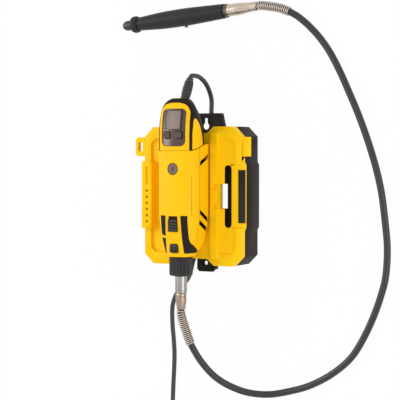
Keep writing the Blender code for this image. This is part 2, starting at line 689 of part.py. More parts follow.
def body_size(y):
    """Half width, front depth and rear depth of the body at one height."""
    front_share, rear_share = body_shares(y)
    growth = [(front_share, BODY_HALF_WIDTH), (front_share, BODY_FRONT), (rear_share, BODY_REAR)]
    return [NOSE_RADIUS + share * (full - NOSE_RADIUS) for share, full in growth]


def body_loft(low, high, inset=0.0):
    inner = [NOSE_Y + row[0] for row in TAPER if low < NOSE_Y + row[0] < high]
    rings = []
    for y in [low] + inner + [high]:
        rear_power = FRONT_POWER + body_shares(y)[1] * (REAR_POWER - FRONT_POWER)
        rings.append(section(y, *body_size(y), inset, rear_power))
    return skin(rings)


CAP_LOW_Y = FRONT_TOP_Y + GAP
# Rings of the cap: share of its length, width, lift of its middle, front, rear, rear power
CAP_SHAPE = [
    (0, 1, 0, 1, 0.93, 3.0), (0.44, 0.985, 0.04, 0.97, 0.88, 2.6), (0.62, 0.94, 0.08, 0.91, 0.80, 2.2),
    (0.72, 0.89, 0.13, 0.85, 0.76, 1.9), (0.82, 0.82, 0.19, 0.78, 0.70, 1.6),
    (0.90, 0.70, 0.21, 0.68, 0.67, 1.6), (0.96, 0.54, 0.21, 0.56, 0.64, 1.7), (1, 0.33, 0.21, 0.42, 0.60, 1.8),
]


def cap_loft(inset=0.0, last=1.0, low=CAP_LOW_Y):
    rings = []
    for share, width, lift, front, rear, power in CAP_SHAPE:
        if share <= last:
            y = low if share == 0 else CAP_LOW_Y + share * (CAP_TOP_Y - CAP_LOW_Y)
            rise = BODY_FRONT * lift
            depths = (BODY_FRONT * front - rise, BODY_REAR * rear + rise)
            rings.append(section(y, BODY_HALF_WIDTH * width, *depths, inset, power, rise))
    return skin(rings)


def seam_side(y_end, shift=0.0):
    """All that lies on one side of the slanted seam between the housing and the cap."""
    far = 4 * BODY_REAR
    seam = [(FRONT_TOP_Y + shift, AXIS_Z + far), (FRONT_TOP_Y + shift, AXIS_Z + SEAM_FRONT),
            (REAR_TOP_Y + shift, AXIS_Z - SEAM_REAR), (REAR_TOP_Y + shift, AXIS_Z - far)]
    outline = seam + [(y_end, AXIS_Z - far), (y_end, AXIS_Z + far)]
    return prism(outline, -far, far, SIDEWAYS)


def seam_y(out):
    """Height of the seam at a distance in front of the tool's axis."""
    share = (SEAM_FRONT - out) / (SEAM_FRONT + SEAM_REAR)
    return FRONT_TOP_Y + min(max(share, 0), 1) * (REAR_TOP_Y - FRONT_TOP_Y)


def layer(loft, outline_solid, outer, inner):
    """The part of a loft between two depths and inside an outline."""
    piece = loft(outer)
    combine(piece, loft(inner))
    return combine(piece, outline_solid, "INTERSECT")


def inlaid(loft, outline_solid, depth):
    return layer(loft, outline_solid, 0.0, depth)


def recess_for(loft, outline_solid, depth):
    return layer(loft, outline_solid, -depth, depth + GAP)


def body_layer(inset):
    return body_loft(NOSE_Y - min(inset, 0), FRONT_TOP_Y + min(inset, 0), inset)


def grip_outline(side, grow):
    points = [(GRIP_INNER_HIGH, GRIP_HIGH_Y), (GRIP_OUTER, GRIP_HIGH_Y), (GRIP_OUTER, GRIP_HIGH_Y - 24 * MM),
              (GRIP_OUTER + 2.5 * MM, GRIP_LOW_Y + 9 * MM), (2 * NOSE_RADIUS, GRIP_LOW_Y + 5 * MM),
              (2 * NOSE_RADIUS, GRIP_LOW_Y), (GRIP_INNER_LOW, GRIP_LOW_Y)]
    outline = [(side * x, y) for x, y in grown(points, grow)]
    return prism(outline, AXIS_Z + 3 * MM - grow, AXIS_Z + 2 * BODY_FRONT)


def carve_housing(half):
    """Cut the chambers, seats and bores that both housing halves share."""
    rear_low = REAR_BEARING_Y - REAR_BEARING_WIDTH / 2
    rear_high = REAR_BEARING_Y + REAR_BEARING_WIDTH / 2
    front_high = FRONT_BEARING_Y + FRONT_BEARING_WIDTH / 2
    front_low = FRONT_BEARING_Y - FRONT_BEARING_WIDTH / 2 - GAP
    collar_end = NOSE_Y + COLLAR_SEAT + GAP
    combine(half, body_loft(front_high, rear_low, BODY_WALL))
    combine(half, body_loft(rear_high, REAR_TOP_Y + BODY_WALL, BODY_WALL))
    seat = rear_high - rear_low + 2 * MM
    combine(half, rod(REAR_BEARING_RADIUS + GAP, (0, rear_low - MM, AXIS_Z), AXIS_UP, seat))
    bores = [(COLLAR_RADIUS + GAP, NOSE_Y - MM, collar_end), (SHAFT_RADIUS + MM, collar_end, front_low),
             (FRONT_BEARING_RADIUS + GAP, front_low, front_high + MM)]
    steps = [(radius, y) for radius, low, high in bores for y in (low, high)]
    profile = [(0, steps[0][1])] + steps + [(0, steps[-1][1])]
    combine(half, turned(profile, (0, 0, AXIS_Z), AXIS_UP))
    return half


def switch_floor():
    return AXIS_Z + body_size(SWITCH_Y)[1] - SWITCH_SINK


def lock_front():
    return AXIS_Z + body_size(LOCK_Y)[1]


def lock_head_back():
    return lock_front() - LOCK_HEAD_SINK


def front_housing(material):
    half = body_loft(NOSE_Y, REAR_TOP_Y)
    combine(half, seam_side(2 * CAP_TOP_Y))
    wide = 2 * BODY_HALF_WIDTH
    combine(half, block((-wide, wide), (-1, 1), (AXIS_Z - wide, AXIS_Z + GAP / 2)))
    carve_housing(half)
    combine(half, rod(BRUSH_CAP_RADIUS + GAP, (0, BRUSH_Y, AXIS_Z + BODY_FRONT / 2), OUT, BODY_FRONT))
    pocket_x = SWITCH_WIDTH / 2 + GAP
    pocket_low = SWITCH_Y - SWITCH_LENGTH / 2 - GAP
    pocket_high = SWITCH_Y + SWITCH_LENGTH / 2 + SWITCH_TRAVEL + GAP
    pocket_back = switch_floor() - SWITCH_PLATE - GAP
    combine(half, block((-pocket_x, pocket_x), (pocket_low, pocket_high), (pocket_back, 2 * FRONT_Z)))
    lock_pocket = rounded(LOCK_SIZE / 2 + GAP, LOCK_SIZE / 2 + GAP, 2 * MM, (0, LOCK_Y))
    combine(half, prism(lock_pocket, lock_head_back() - LOCK_TRAVEL - GAP, 2 * FRONT_Z))
    combine(half, rod(LOCK_STEM_RADIUS + GAP, (0, LOCK_Y, AXIS_Z), OUT, BODY_FRONT, 16))
    for side in (-1, 1):
        combine(half, recess_for(body_layer, grip_outline(side, GAP), GRIP_DEPTH))
    return finish(half, "front_housing", material)


def vent_outlines():
    """Slanted slots on the side of the rear housing, as (y, z) outlines."""
    high = AXIS_Z - MM
    low = AXIS_Z - 24 * MM
    slots = [(39.5 * MM, 50 * MM), (-17.5 * MM, -29.5 * MM), (-30 * MM, -41 * MM)]
    outlines = []
    for top, foot in slots:
        outlines.append([(top, high), (top + VENT_WIDTH, high), (foot + VENT_WIDTH, low), (foot, low)])
    return outlines


def rear_housing(material):
    half = body_loft(NOSE_Y, REAR_TOP_Y)
    combine(half, seam_side(2 * CAP_TOP_Y))
    wide = 2 * BODY_HALF_WIDTH
    combine(half, block((-wide, wide), (-1, 1), (AXIS_Z - GAP / 2, AXIS_Z + wide)))
    carve_housing(half)
    combine(half, rod(BRUSH_CAP_RADIUS + GAP, (0, BRUSH_Y, AXIS_Z - BODY_REAR / 2), -OUT, BODY_REAR))
    for outline in vent_outlines():
        inner = BODY_HALF_WIDTH - 3 * BODY_WALL
        combine(half, prism(outline, inner, wide, SIDEWAYS))
        combine(half, prism(outline, -wide, -inner, SIDEWAYS))
    return finish(half, "rear_housing", material)


def screen_outline(grow=0.0):
    half = SCREEN_FRAME_HALF + grow
    low = CAP_LOW_Y - MM
    spring = SCREEN_FRAME_TOP - SCREEN_FRAME_HALF * 0.9
    rise = SCREEN_FRAME_TOP + grow - spring
    arch = []
    for step in range(9):
        angle = math.pi * step / 8
        up = squared(math.sin(angle), FRONT_POWER) if 0 < step < 8 else 0
        arch.append((half * squared(math.cos(angle), FRONT_POWER), spring + rise * up))
    back = AXIS_Z + BODY_FRONT * 0.45 - grow
    return prism([(-half, low), (half, low)] + arch, back, AXIS_Z + 2 * BODY_FRONT)


def window_outline(grow=0.0):
    centre = (WINDOW_LOW_Y + WINDOW_HIGH_Y) / 2
    return rounded(WINDOW_HALF_WIDTH + grow, (WINDOW_HIGH_Y - WINDOW_LOW_Y) / 2 + grow, 5 * MM, (0, centre))


def lcd_outline(grow=0.0):
    centre = (LCD_LOW_Y + LCD_HIGH_Y) / 2
    return rounded(LCD_HALF_WIDTH + grow, (LCD_HIGH_Y - LCD_LOW_Y) / 2 + grow, MM, (0, centre), 2)


def key_outline(side, grow=0.0):
    return rounded(KEY_SIZE / 2 + grow, KEY_SIZE / 2 + grow, MM, (side * KEY_X, KEY_Y), 2)


WINDOW_FRONT = FRONT_Z - WINDOW_SINK
LCD_SINK = WINDOW_SINK + 2 * GAP
BOARD_FRONT = FRONT_Z - BOARD_BELOW_FRONT


def inlay_outline(side, grow=0.0):
    """The leaf-shaped side inlay, as a prism through one side of the cap."""
    front = 13.3 * MM
    rear = -9 * MM
    points = [(seam_y(front) + 3 * GAP, front), (seam_y(rear) + 3 * GAP, rear), (75 * MM, -7.5 * MM),
              (85 * MM, -3.5 * MM), (91 * MM, 0), (95 * MM, 3 * MM), (90 * MM, 6.5 * MM), (80 * MM, 10.5 * MM),
              (70 * MM, 12.8 * MM)]
    outline = [(along, AXIS_Z + out) for along, out in grown(points, grow)]
    reach = sorted((side * BODY_HALF_WIDTH / 2, side * 2 * BODY_HALF_WIDTH))
    return prism(outline, *reach, SIDEWAYS)


def relief_axis():
    return Vector((0, math.cos(RELIEF_PITCH), math.sin(RELIEF_PITCH)))


def relief_start():
    return Vector((0, CAP_TOP_Y - RELIEF_SEAT, AXIS_Z - RELIEF_BELOW_AXIS))


def relief_end():
    return relief_start() + relief_axis() * RELIEF_LENGTH


def rear_cap(material):
    cap = cap_loft()
    combine(cap, seam_side(0, GAP))
    combine(cap, cap_loft(BODY_WALL, 0.75, CAP_LOW_Y - BODY_WALL))
    combine(cap, recess_for(cap_loft, screen_outline(GAP), SCREEN_FRAME_WALL))
    combine(cap, prism(window_outline(GAP), BOARD_FRONT - BOARD_THICK - GAP, 2 * FRONT_Z))
    for side in (-1, 1):
        combine(cap, recess_for(cap_loft, inlay_outline(side, GAP), INLAY_DEPTH))
    start = relief_start() - relief_axis() * (RELIEF_SEAT + GAP)
    combine(cap, rod(RELIEF_BASE_RADIUS + GAP, start, relief_axis(), RELIEF_LENGTH, 16))
    return finish(cap, "rear_cap", material)


def display(yellow, glass, screen, rubber, board):
    frame = inlaid(cap_loft, screen_outline(), SCREEN_FRAME_WALL)
    combine(frame, seam_side(0, GAP))
    combine(frame, prism(window_outline(GAP), AXIS_Z, 2 * FRONT_Z))
    finish(frame, "display_frame", yellow)
    glass_solid = prism(window_outline(), AXIS_Z, 2 * FRONT_Z)
    window = layer(cap_loft, glass_solid, WINDOW_SINK, WINDOW_SINK + WINDOW_THICK)
    combine(window, prism(lcd_outline(GAP), 0, 2 * FRONT_Z))
    for side in (-1, 1):
        combine(window, prism(key_outline(side, GAP), 0, 2 * FRONT_Z))
    finish(window, "display_window", glass)
    panel = layer(cap_loft, prism(lcd_outline(), AXIS_Z, 2 * FRONT_Z), LCD_SINK, LCD_SINK + LCD_THICK)
    finish(panel, "lcd_panel", screen)
    for side, name in [(-1, "key_left"), (1, "key_right")]:
        key = prism(key_outline(side), BOARD_FRONT + KEY_TRAVEL + GAP, WINDOW_FRONT + KEY_TRAVEL + GAP)
        place_origin(finish(key, name, rubber), (side * KEY_X, KEY_Y, WINDOW_FRONT))
    plate = prism(window_outline(-MM), BOARD_FRONT - BOARD_THICK, BOARD_FRONT)
    finish(plate, "control_board", board)


def side_inlays(material):
    for side, name in [(-1, "side_inlay_left"), (1, "side_inlay_right")]:
        finish(inlaid(cap_loft, inlay_outline(side), INLAY_DEPTH), name, material)


def grips(material):
    for side, name in [(-1, "grip_left"), (1, "grip_right")]:
        finish(inlaid(body_layer, grip_outline(side, 0), GRIP_DEPTH), name, material)


# Motor and controls
def ribbed_outline(radius, rib_height, count):
    points = []
    for index in range(2 * count):
        reach = radius if index % 2 else radius - rib_height
        for shift in (-0.3, 0.3):
            angle = math.pi * (index + shift) / count
            points.append((reach * math.cos(angle), reach * math.sin(angle)))
    return points


def along_axis(y):
    """A frame whose Z runs down the tool's axis from height y."""
    return Matrix.Translation((0, y, AXIS_Z)) @ Matrix.Rotation(math.radians(90), 4, "X")


def brush_sets(steel, brass, carbon):
    for side, depth, end in [(1, BODY_FRONT, "front"), (-1, BODY_REAR, "rear")]:
        out = Vector((0, 0, side))
        wall = depth - BODY_WALL
        cap = rod(BRUSH_CAP_RADIUS, (0, BRUSH_Y, AXIS_Z + side * wall), out, BODY_WALL - 2 * GAP)
        slot_z = sorted((AXIS_Z + side * (depth - 3 * GAP - MM), AXIS_Z + side * 2 * depth))
        slot_y = (BRUSH_Y - 0.9 * MM, BRUSH_Y + 0.9 * MM)
        combine(cap, block((-BRUSH_CAP_RADIUS * 0.7, BRUSH_CAP_RADIUS * 0.7), slot_y, slot_z))
        finish(cap, f"brush_cap_{end}", steel)
        inner = COMMUTATOR_RADIUS + 2 * MM
        half_x = BRUSH_WIDTH / 2
        half_y = BRUSH_HEIGHT / 2
        grow = GAP + HOLDER_WALL
        span = sorted((AXIS_Z + side * inner, AXIS_Z + side * (wall - GAP)))
        case_x = (-half_x - grow, half_x + grow)
        case = block(case_x, (BRUSH_Y - half_y - grow, BRUSH_Y + half_y + grow), span)
        bore_x = half_x + GAP
        bore_y = (BRUSH_Y - half_y - GAP, BRUSH_Y + half_y + GAP)
        combine(case, block((-bore_x, bore_x), bore_y, (0, 2 * FRONT_Z)))
        finish(case, f"brush_holder_{end}", brass)
        tip = COMMUTATOR_RADIUS + GAP
        reach = sorted((AXIS_Z + side * tip, AXIS_Z + side * (tip + BRUSH_LENGTH)))
        finish(block((-half_x, half_x), (BRUSH_Y - half_y, BRUSH_Y + half_y), reach), f"brush_{end}", carbon)


def ring_on_axis(name, inner, outer, centre_y, width, material, segments=24):
    ring = tube(inner, outer, (0, centre_y + width / 2, AXIS_Z), AXIS_DOWN, width, segments)
    return place_origin(finish(ring, name, material), (0, centre_y, AXIS_Z))


def motor(steel, iron, copper, plastic):
    bore = SHAFT_RADIUS + GAP
    block_of_iron = body_loft(STATOR_LOW_Y, STATOR_HIGH_Y, BODY_WALL + GAP)
    length = STATOR_HIGH_Y - STATOR_LOW_Y
    opening = rod(ARMATURE_RADIUS + AIR_GAP, (0, STATOR_HIGH_Y + MM, AXIS_Z), AXIS_DOWN, length + 2 * MM)
    finish(combine(block_of_iron, opening), "stator", iron)
    middle = (STATOR_LOW_Y + STATOR_HIGH_Y) / 2
    ring_on_axis("armature_core", bore, ARMATURE_RADIUS, middle, length - 4 * MM, iron, 20)
    ring_on_axis("commutator", bore, COMMUTATOR_RADIUS, BRUSH_Y, COMMUTATOR_LENGTH, copper, 20)
    fan = prism(ribbed_outline(FAN_RADIUS, 4 * MM, 9), -FAN_THICK / 2, FAN_THICK / 2, along_axis(FAN_Y))
    opening = rod(bore, (0, FAN_Y + FAN_THICK, AXIS_Z), AXIS_DOWN, 2 * FAN_THICK, 12)
    place_origin(finish(combine(fan, opening), "cooling_fan", plastic), (0, FAN_Y, AXIS_Z))
    ring_on_axis("rear_bearing", bore, REAR_BEARING_RADIUS, REAR_BEARING_Y, REAR_BEARING_WIDTH, steel, 20)
    ring_on_axis("front_bearing", bore, FRONT_BEARING_RADIUS, FRONT_BEARING_Y, FRONT_BEARING_WIDTH, steel, 20)
    top = REAR_BEARING_Y + REAR_BEARING_WIDTH
    shaft = rod(SHAFT_RADIUS, (0, top, AXIS_Z), AXIS_DOWN, top - shaft_end(), 16)
    place_origin(finish(shaft, "motor_shaft", steel), (0, 0, AXIS_Z))


def lip_top():
    return NUT_END_Y + NUT_END_WALL + GAP + FERRULE_LIP


def shaft_end():
    return lip_top() + GAP


def controls(rubber, plastic):
    low = switch_floor() + GAP
    top = AXIS_Z + body_size(SWITCH_Y)[1] + SWITCH_PROUD
    half_x = SWITCH_WIDTH / 2
    half_y = SWITCH_LENGTH / 2
    slider = block((-half_x, half_x), (SWITCH_Y - half_y, SWITCH_Y + half_y), (low, top))
    for index in (-1, 0, 1):
        groove = SWITCH_Y + index * half_y / 2
        groove_y = (groove - SWITCH_GROOVE / 2, groove + SWITCH_GROOVE / 2)
        combine(slider, block((-2 * half_x, 2 * half_x), groove_y, (top - SWITCH_GROOVE, 2 * top)))
    place_origin(finish(slider, "slide_switch", rubber), (0, SWITCH_Y, low))
    track_y = (SWITCH_Y - half_y, SWITCH_Y + half_y + SWITCH_TRAVEL)
    track = block((-half_x, half_x), track_y, (switch_floor() - SWITCH_PLATE, switch_floor()))
    finish(track, "switch_block", plastic)
    head = rounded(LOCK_SIZE / 2, LOCK_SIZE / 2, 2 * MM, (0, LOCK_Y))
    button = prism(head, lock_head_back(), lock_front() + LOCK_PROUD)
    stem_low = AXIS_Z + SHAFT_RADIUS + LOCK_TRAVEL + 2 * GAP
    stem_length = lock_head_back() + MM - stem_low
    combine(button, rod(LOCK_STEM_RADIUS, (0, LOCK_Y, stem_low), OUT, stem_length, 16), "UNION")
    place_origin(finish(button, "lock_button", rubber), (0, LOCK_Y, lock_front()))


def coupling(rubber, steel, chrome):
    collar_top = NOSE_Y + COLLAR_SEAT
    collar = tube(COLLAR_BORE, COLLAR_RADIUS, (0, collar_top, AXIS_Z), AXIS_DOWN, collar_top - lip_top() - GAP)
    finish(collar, "nose_collar", steel)
    nut = prism(ribbed_outline(NUT_RADIUS, NUT_RIB_HEIGHT, NUT_RIBS), 0, NUT_LENGTH, along_axis(NUT_TOP_Y))
    bore_length = NUT_LENGTH - NUT_END_WALL
    combine(nut, rod(COLLAR_RADIUS + GAP, (0, NUT_TOP_Y + MM, AXIS_Z), AXIS_DOWN, bore_length + MM))
    combine(nut, rod(FERRULE_NECK_RADIUS + GAP, (0, NUT_TOP_Y, AXIS_Z), AXIS_DOWN, 2 * NUT_LENGTH))
    place_origin(finish(nut, "coupling_nut", rubber), (0, NUT_TOP_Y, AXIS_Z))
    bore = CORE_RADIUS + 2 * GAP
    lip = lip_top()
    lip_radius = COLLAR_RADIUS - GAP
    under = NUT_END_Y - GAP
    reach = lip - FERRULE_END_Y
    profile = [(bore, 0), (lip_radius, 0), (lip_radius, FERRULE_LIP), (FERRULE_NECK_RADIUS, FERRULE_LIP),
               (FERRULE_NECK_RADIUS, lip - under), (FERRULE_RADIUS, lip - under), (FERRULE_RADIUS, reach),
               (bore, reach)]
    finish(turned(profile, (0, lip, AXIS_Z), AXIS_DOWN, 20, hollow=True), "drive_ferrule", chrome)
    profile = [(bore, 0), (CRIMP_RADIUS - MM, 0), (CRIMP_RADIUS, MM), (CRIMP_RADIUS, CRIMP_LENGTH * 0.45),
               (CRIMP_END_RADIUS, CRIMP_LENGTH), (bore, CRIMP_LENGTH)]
    finish(turned(profile, (0, CRIMP_TOP_Y, AXIS_Z), AXIS_DOWN, 20, hollow=True), "crimp_sleeve", chrome)
    core_top = shaft_end() - GAP
    core = rod(CORE_RADIUS, (0, core_top, AXIS_Z), AXIS_DOWN, core_top - CRIMP_END_Y, 12)
    place_origin(finish(core, "drive_core", steel), (0, core_top, AXIS_Z))


# Flexible shaft and handpiece
def smooth_path(route, step):
    """Points about one step apart on a smooth curve through the route's points."""
    ends = [2 * route[0] - route[1]] + route + [2 * route[-1] - route[-2]]
    fine = []
    for before, start, end, after in zip(ends, ends[1:], ends[2:], ends[3:]):
        for index in range(24):
            t = index / 24
            slope_in = (end - before) / 2
            slope_out = (after - start) / 2
            fine.append(start * (2 * t ** 3 - 3 * t ** 2 + 1) + slope_in * (t ** 3 - 2 * t ** 2 + t)
                        + end * (3 * t ** 2 - 2 * t ** 3) + slope_out * (t ** 3 - t ** 2))
    fine.append(route[-1])
    length = path_length(fine)
    count = max(round(length / step), 2)
    points = [fine[0]]
    travelled = 0.0
    for start, end in zip(fine, fine[1:]):
        run = (end - start).length
        while len(points) < count and travelled + run >= length * len(points) / count:
            share = (length * len(points) / count - travelled) / run
            points.append(start.lerp(end, share))
        travelled += run
    points.append(fine[-1])
    first_straight = fine[0] + (fine[1] - fine[0]).normalized() * END_STRAIGHT
    last_straight = fine[-1] + (fine[-2] - fine[-1]).normalized() * END_STRAIGHT
    return [points[0], first_straight] + points[1:-1] + [last_straight, points[-1]]


def path_length(points):
    return sum((end - start).length for start, end in zip(points, points[1:]))


def cord(name, points, radius, material, resolution):
    """A round cord along the given points."""
    curve = bpy.data.curves.new(name, "CURVE")
    curve.dimensions = "3D"
    curve.bevel_depth = radius
    curve.bevel_resolution = resolution
    curve.use_fill_caps = True
    spline = curve.splines.new("POLY")
    spline.points.add(len(points) - 1)
    for spot, point in zip(spline.points, points):
        spot.co = (*point, 1)
    obj = bpy.data.objects.new(name, curve)
    curve.materials.append(material)
    bpy.context.collection.objects.link(obj)
    return obj


def self_gap(points, radius, reach):
    """The least clear gap between parts of one tube that lie further than reach along it."""
    least = math.inf
    lengths = [0.0]
    for start, end in zip(points, points[1:]):
        lengths.append(lengths[-1] + (end - start).length)
    for low in range(len(points)):
        for high in range(low + 1, len(points)):
            if lengths[high] - lengths[low] > reach:
                least = min(least, (points[low] - points[high]).length)
    return least - 2 * radius


def flex_route():
    """The sheath's route, straight where it leaves the crimp sleeve and where it meets the upper ferrule."""
    start = Vector((0, CRIMP_END_Y - GAP, AXIS_Z))
    rear, forward = handpiece_frame()
    end = rear - forward * (RING_LENGTH + SLEEVE_LENGTH + 3 * GAP)
    middle = [vector_mm(point) for point in FLEX_ROUTE_MM]
    return [start, start + AXIS_DOWN * 2 * END_STRAIGHT] + middle + [end - forward * 2 * END_STRAIGHT, end]


def spring_points(path):
    """A helix round the first stretch of a path, with a straight end on each side."""
    wind = (SHEATH_RADIUS + GAP + SPRING_WIRE) / math.cos(math.pi / CURL_POINTS)
    total = SPRING_TURNS * CURL_POINTS
    side = (path[1] - path[0]).orthogonal().normalized()
    travelled = 0.0
    spots = []
    for start, end in zip(path, path[1:]):
        run = (end - start).length
        heading = (end - start).normalized()
        side = (side - heading * side.dot(heading)).normalized()
        while len(spots) <= total and travelled + run >= SPRING_LENGTH * len(spots) / total:
            share = (SPRING_LENGTH * len(spots) / total - travelled) / run
            turn = Matrix.Rotation(2 * math.pi * len(spots) / CURL_POINTS, 3, heading)
            spots.append(start.lerp(end, share) + turn @ side * wind)
        travelled += run
    lead_in = spots[0] + (spots[0] - spots[1]).normalized() * 2 * SPRING_WIRE
    lead_out = spots[-1] + (spots[-1] - spots[-2]).normalized() * 2 * SPRING_WIRE
    return [lead_in] + spots + [lead_out]


def flexible_shaft(rubber, chrome):
    route = flex_route()
    path = smooth_path(route, SHEATH_STEP)
    cord("flex_sheath", path, SHEATH_RADIUS, rubber, 3)
    print(f"flex sheath length {path_length(path) / MM:.0f} mm")
    for name, stretch in [("lower_spring", path[1:]), ("upper_spring", path[-2::-1])]:
        points = spring_points(stretch)
        cord(name, points, SPRING_WIRE, chrome, 1)
        print(f"{name} least gap to itself {self_gap(points, SPRING_WIRE, 8 * MM) / MM:.2f} mm")


def handpiece_frame():
    """The middle of the handpiece's rear face, resting on the surface, and the way it points."""
    rear = Vector((HANDPIECE_REAR_X, HANDPIECE_REAR_Y, HANDPIECE_RADIUS + GAP))
    return rear, Vector((math.cos(HANDPIECE_TURN), math.sin(HANDPIECE_TURN), 0))


def handpiece(rubber, steel, chrome, plastic):
    rear, forward = handpiece_frame()
    length = HANDPIECE_LENGTH
    profile = [(HANDPIECE_BORE, 0), (HANDPIECE_REAR_RADIUS, 0), (HANDPIECE_REAR_RADIUS + MM, length * 0.2),
               (HANDPIECE_RADIUS, length * 0.45), (HANDPIECE_RADIUS - GAP, length * 0.7),
               (HANDPIECE_NECK_RADIUS + MM, length * 0.9), (HANDPIECE_NECK_RADIUS, length),
               (HANDPIECE_BORE, length)]
    body = turned(profile, rear, forward, 24, hollow=True)
    down = OUT.cross(forward)
    pin_root = rear + forward * PIN_FROM_REAR
    combine(body, rod(PIN_RADIUS + GAP, pin_root + down * HANDPIECE_BORE / 2, down, HANDPIECE_RADIUS, 12))
    finish(body, "handpiece_body", rubber)
    pin_inner = SPINDLE_RADIUS + PIN_TRAVEL + GAP
    pin_length = HANDPIECE_RADIUS + PIN_PROUD - pin_inner
    pin = finish(rod(PIN_RADIUS, pin_root + down * pin_inner, down, pin_length, 12), "lock_pin", steel)
    place_origin(pin, pin_root)
    flange_at = length + GAP
    edge = FLANGE_RADIUS - 2 * MM
    profile = [(FLANGE_BORE, 0), (edge, 0), (FLANGE_RADIUS, 2 * MM), (FLANGE_RADIUS, FLANGE_LENGTH - 2 * MM),
               (edge, FLANGE_LENGTH), (FLANGE_BORE, FLANGE_LENGTH)]
    finish(turned(profile, rear + forward * flange_at, forward, 24, hollow=True), "handpiece_flange", plastic)
    nut_at = flange_at + FLANGE_LENGTH + GAP
    bore = SPINDLE_RADIUS + GAP
    reach = COLLET_NUT_LENGTH
    profile = [(bore, 0), (COLLET_NUT_RADIUS - MM, 0), (COLLET_NUT_RADIUS, MM),
               (COLLET_NUT_RADIUS, reach - 4 * MM), (COLLET_NUT_RADIUS - 2 * MM, reach), (bore, reach)]
    nut = finish(turned(profile, rear + forward * nut_at, forward, 20, hollow=True), "collet_nut", steel)
    place_origin(nut, rear + forward * nut_at)
    start = SMALL_BEARING_INSET / 2
    end = nut_at + reach - MM
    spindle = rod(SPINDLE_RADIUS, rear + forward * start, forward, end - start, 16)
    combine(spindle, rod(SHANK_RADIUS, rear + forward * (end - SHANK_DEPTH), forward, 2 * SHANK_DEPTH, 16))
    place_origin(finish(spindle, "handpiece_spindle", steel), rear)
    front_seat = length - SMALL_BEARING_INSET + SMALL_BEARING_WIDTH
    for name, at in [("spindle_bearing_rear", SMALL_BEARING_INSET), ("spindle_bearing_front", front_seat)]:
        ring = tube(bore, HANDPIECE_BORE - GAP, rear + forward * at, forward, SMALL_BEARING_WIDTH, 16)
        finish(ring, name, steel)
    bore = CORE_RADIUS + 2 * GAP
    profile = [(bore, 0), (RING_RADIUS - MM, 0), (RING_RADIUS, MM), (RING_RADIUS, RING_LENGTH - MM),
               (RING_RADIUS - MM, RING_LENGTH), (bore, RING_LENGTH)]
    finish(turned(profile, rear - forward * GAP, -forward, 20, hollow=True), "ferrule_ring", chrome)
    start = rear - forward * (RING_LENGTH + 2 * GAP)
    length = SLEEVE_LENGTH
    profile = [(bore, 0), (RING_RADIUS - MM, 0), (RING_RADIUS - MM, length * 0.35),
               (SLEEVE_REAR_RADIUS, length * 0.75), (SLEEVE_REAR_RADIUS, length), (bore, length)]
    finish(turned(profile, start, -forward, 20, hollow=True), "upper_ferrule", chrome)


# Mains lead
def strain_relief(material):
    axis = relief_axis()
    start = relief_start() - axis * RELIEF_SEAT
    length = (relief_end() - start).length
    profile = [(0, 0), (RELIEF_BASE_RADIUS, 0), (RELIEF_BASE_RADIUS, 2 * RELIEF_SEAT),
               (RELIEF_TIP_RADIUS, length), (0, length)]
    finish(turned(profile, start, axis, 16), "strain_relief", material)


def coil_points(start):
    """A flat two-layer coil that leaves start heading down Y, spirals in, climbs and spirals out."""
    centre = start + Vector((COIL_OUTER_RADIUS, -2 * LEAD_RADIUS, 0))
    inner = COIL_OUTER_RADIUS - COIL_INWARD_TURNS * COIL_PITCH
    turns = COIL_INWARD_TURNS + 0.5 + COIL_OUTWARD_TURNS
    points = [start]
    for index in range(round(turns * COIL_TURN_POINTS) + 1):
        turn = index / COIL_TURN_POINTS
        climb = min(max(2 * (turn - COIL_INWARD_TURNS), 0), 1)
        if turn < COIL_INWARD_TURNS:
            radius = COIL_OUTER_RADIUS - turn * COIL_PITCH
        else:
            outward = max(turn - COIL_INWARD_TURNS - 0.5, 0)
            radius = inner + outward * COIL_PITCH - COIL_DIP * math.sin(math.pi * climb)
        angle = math.pi + 2 * math.pi * turn
        rise = COIL_LAYER_RISE * (1 - math.cos(math.pi * climb)) / 2
        points.append(centre + Vector((radius * math.cos(angle), radius * math.sin(angle), rise)))
    heading = Vector((1, 0, 0))
    end = points[-1]
    drop = end.z - PLUG_HALF_THICK - GAP
    for step in range(1, 5):
        share = step / 5
        fall = drop * (1 - math.cos(math.pi * share)) / 2
        points.append(end + heading * COIL_TAIL * share - OUT * fall)
    last = end + heading * COIL_TAIL - OUT * drop
    points += [last - heading * LEAD_RADIUS, last]
    return points, centre


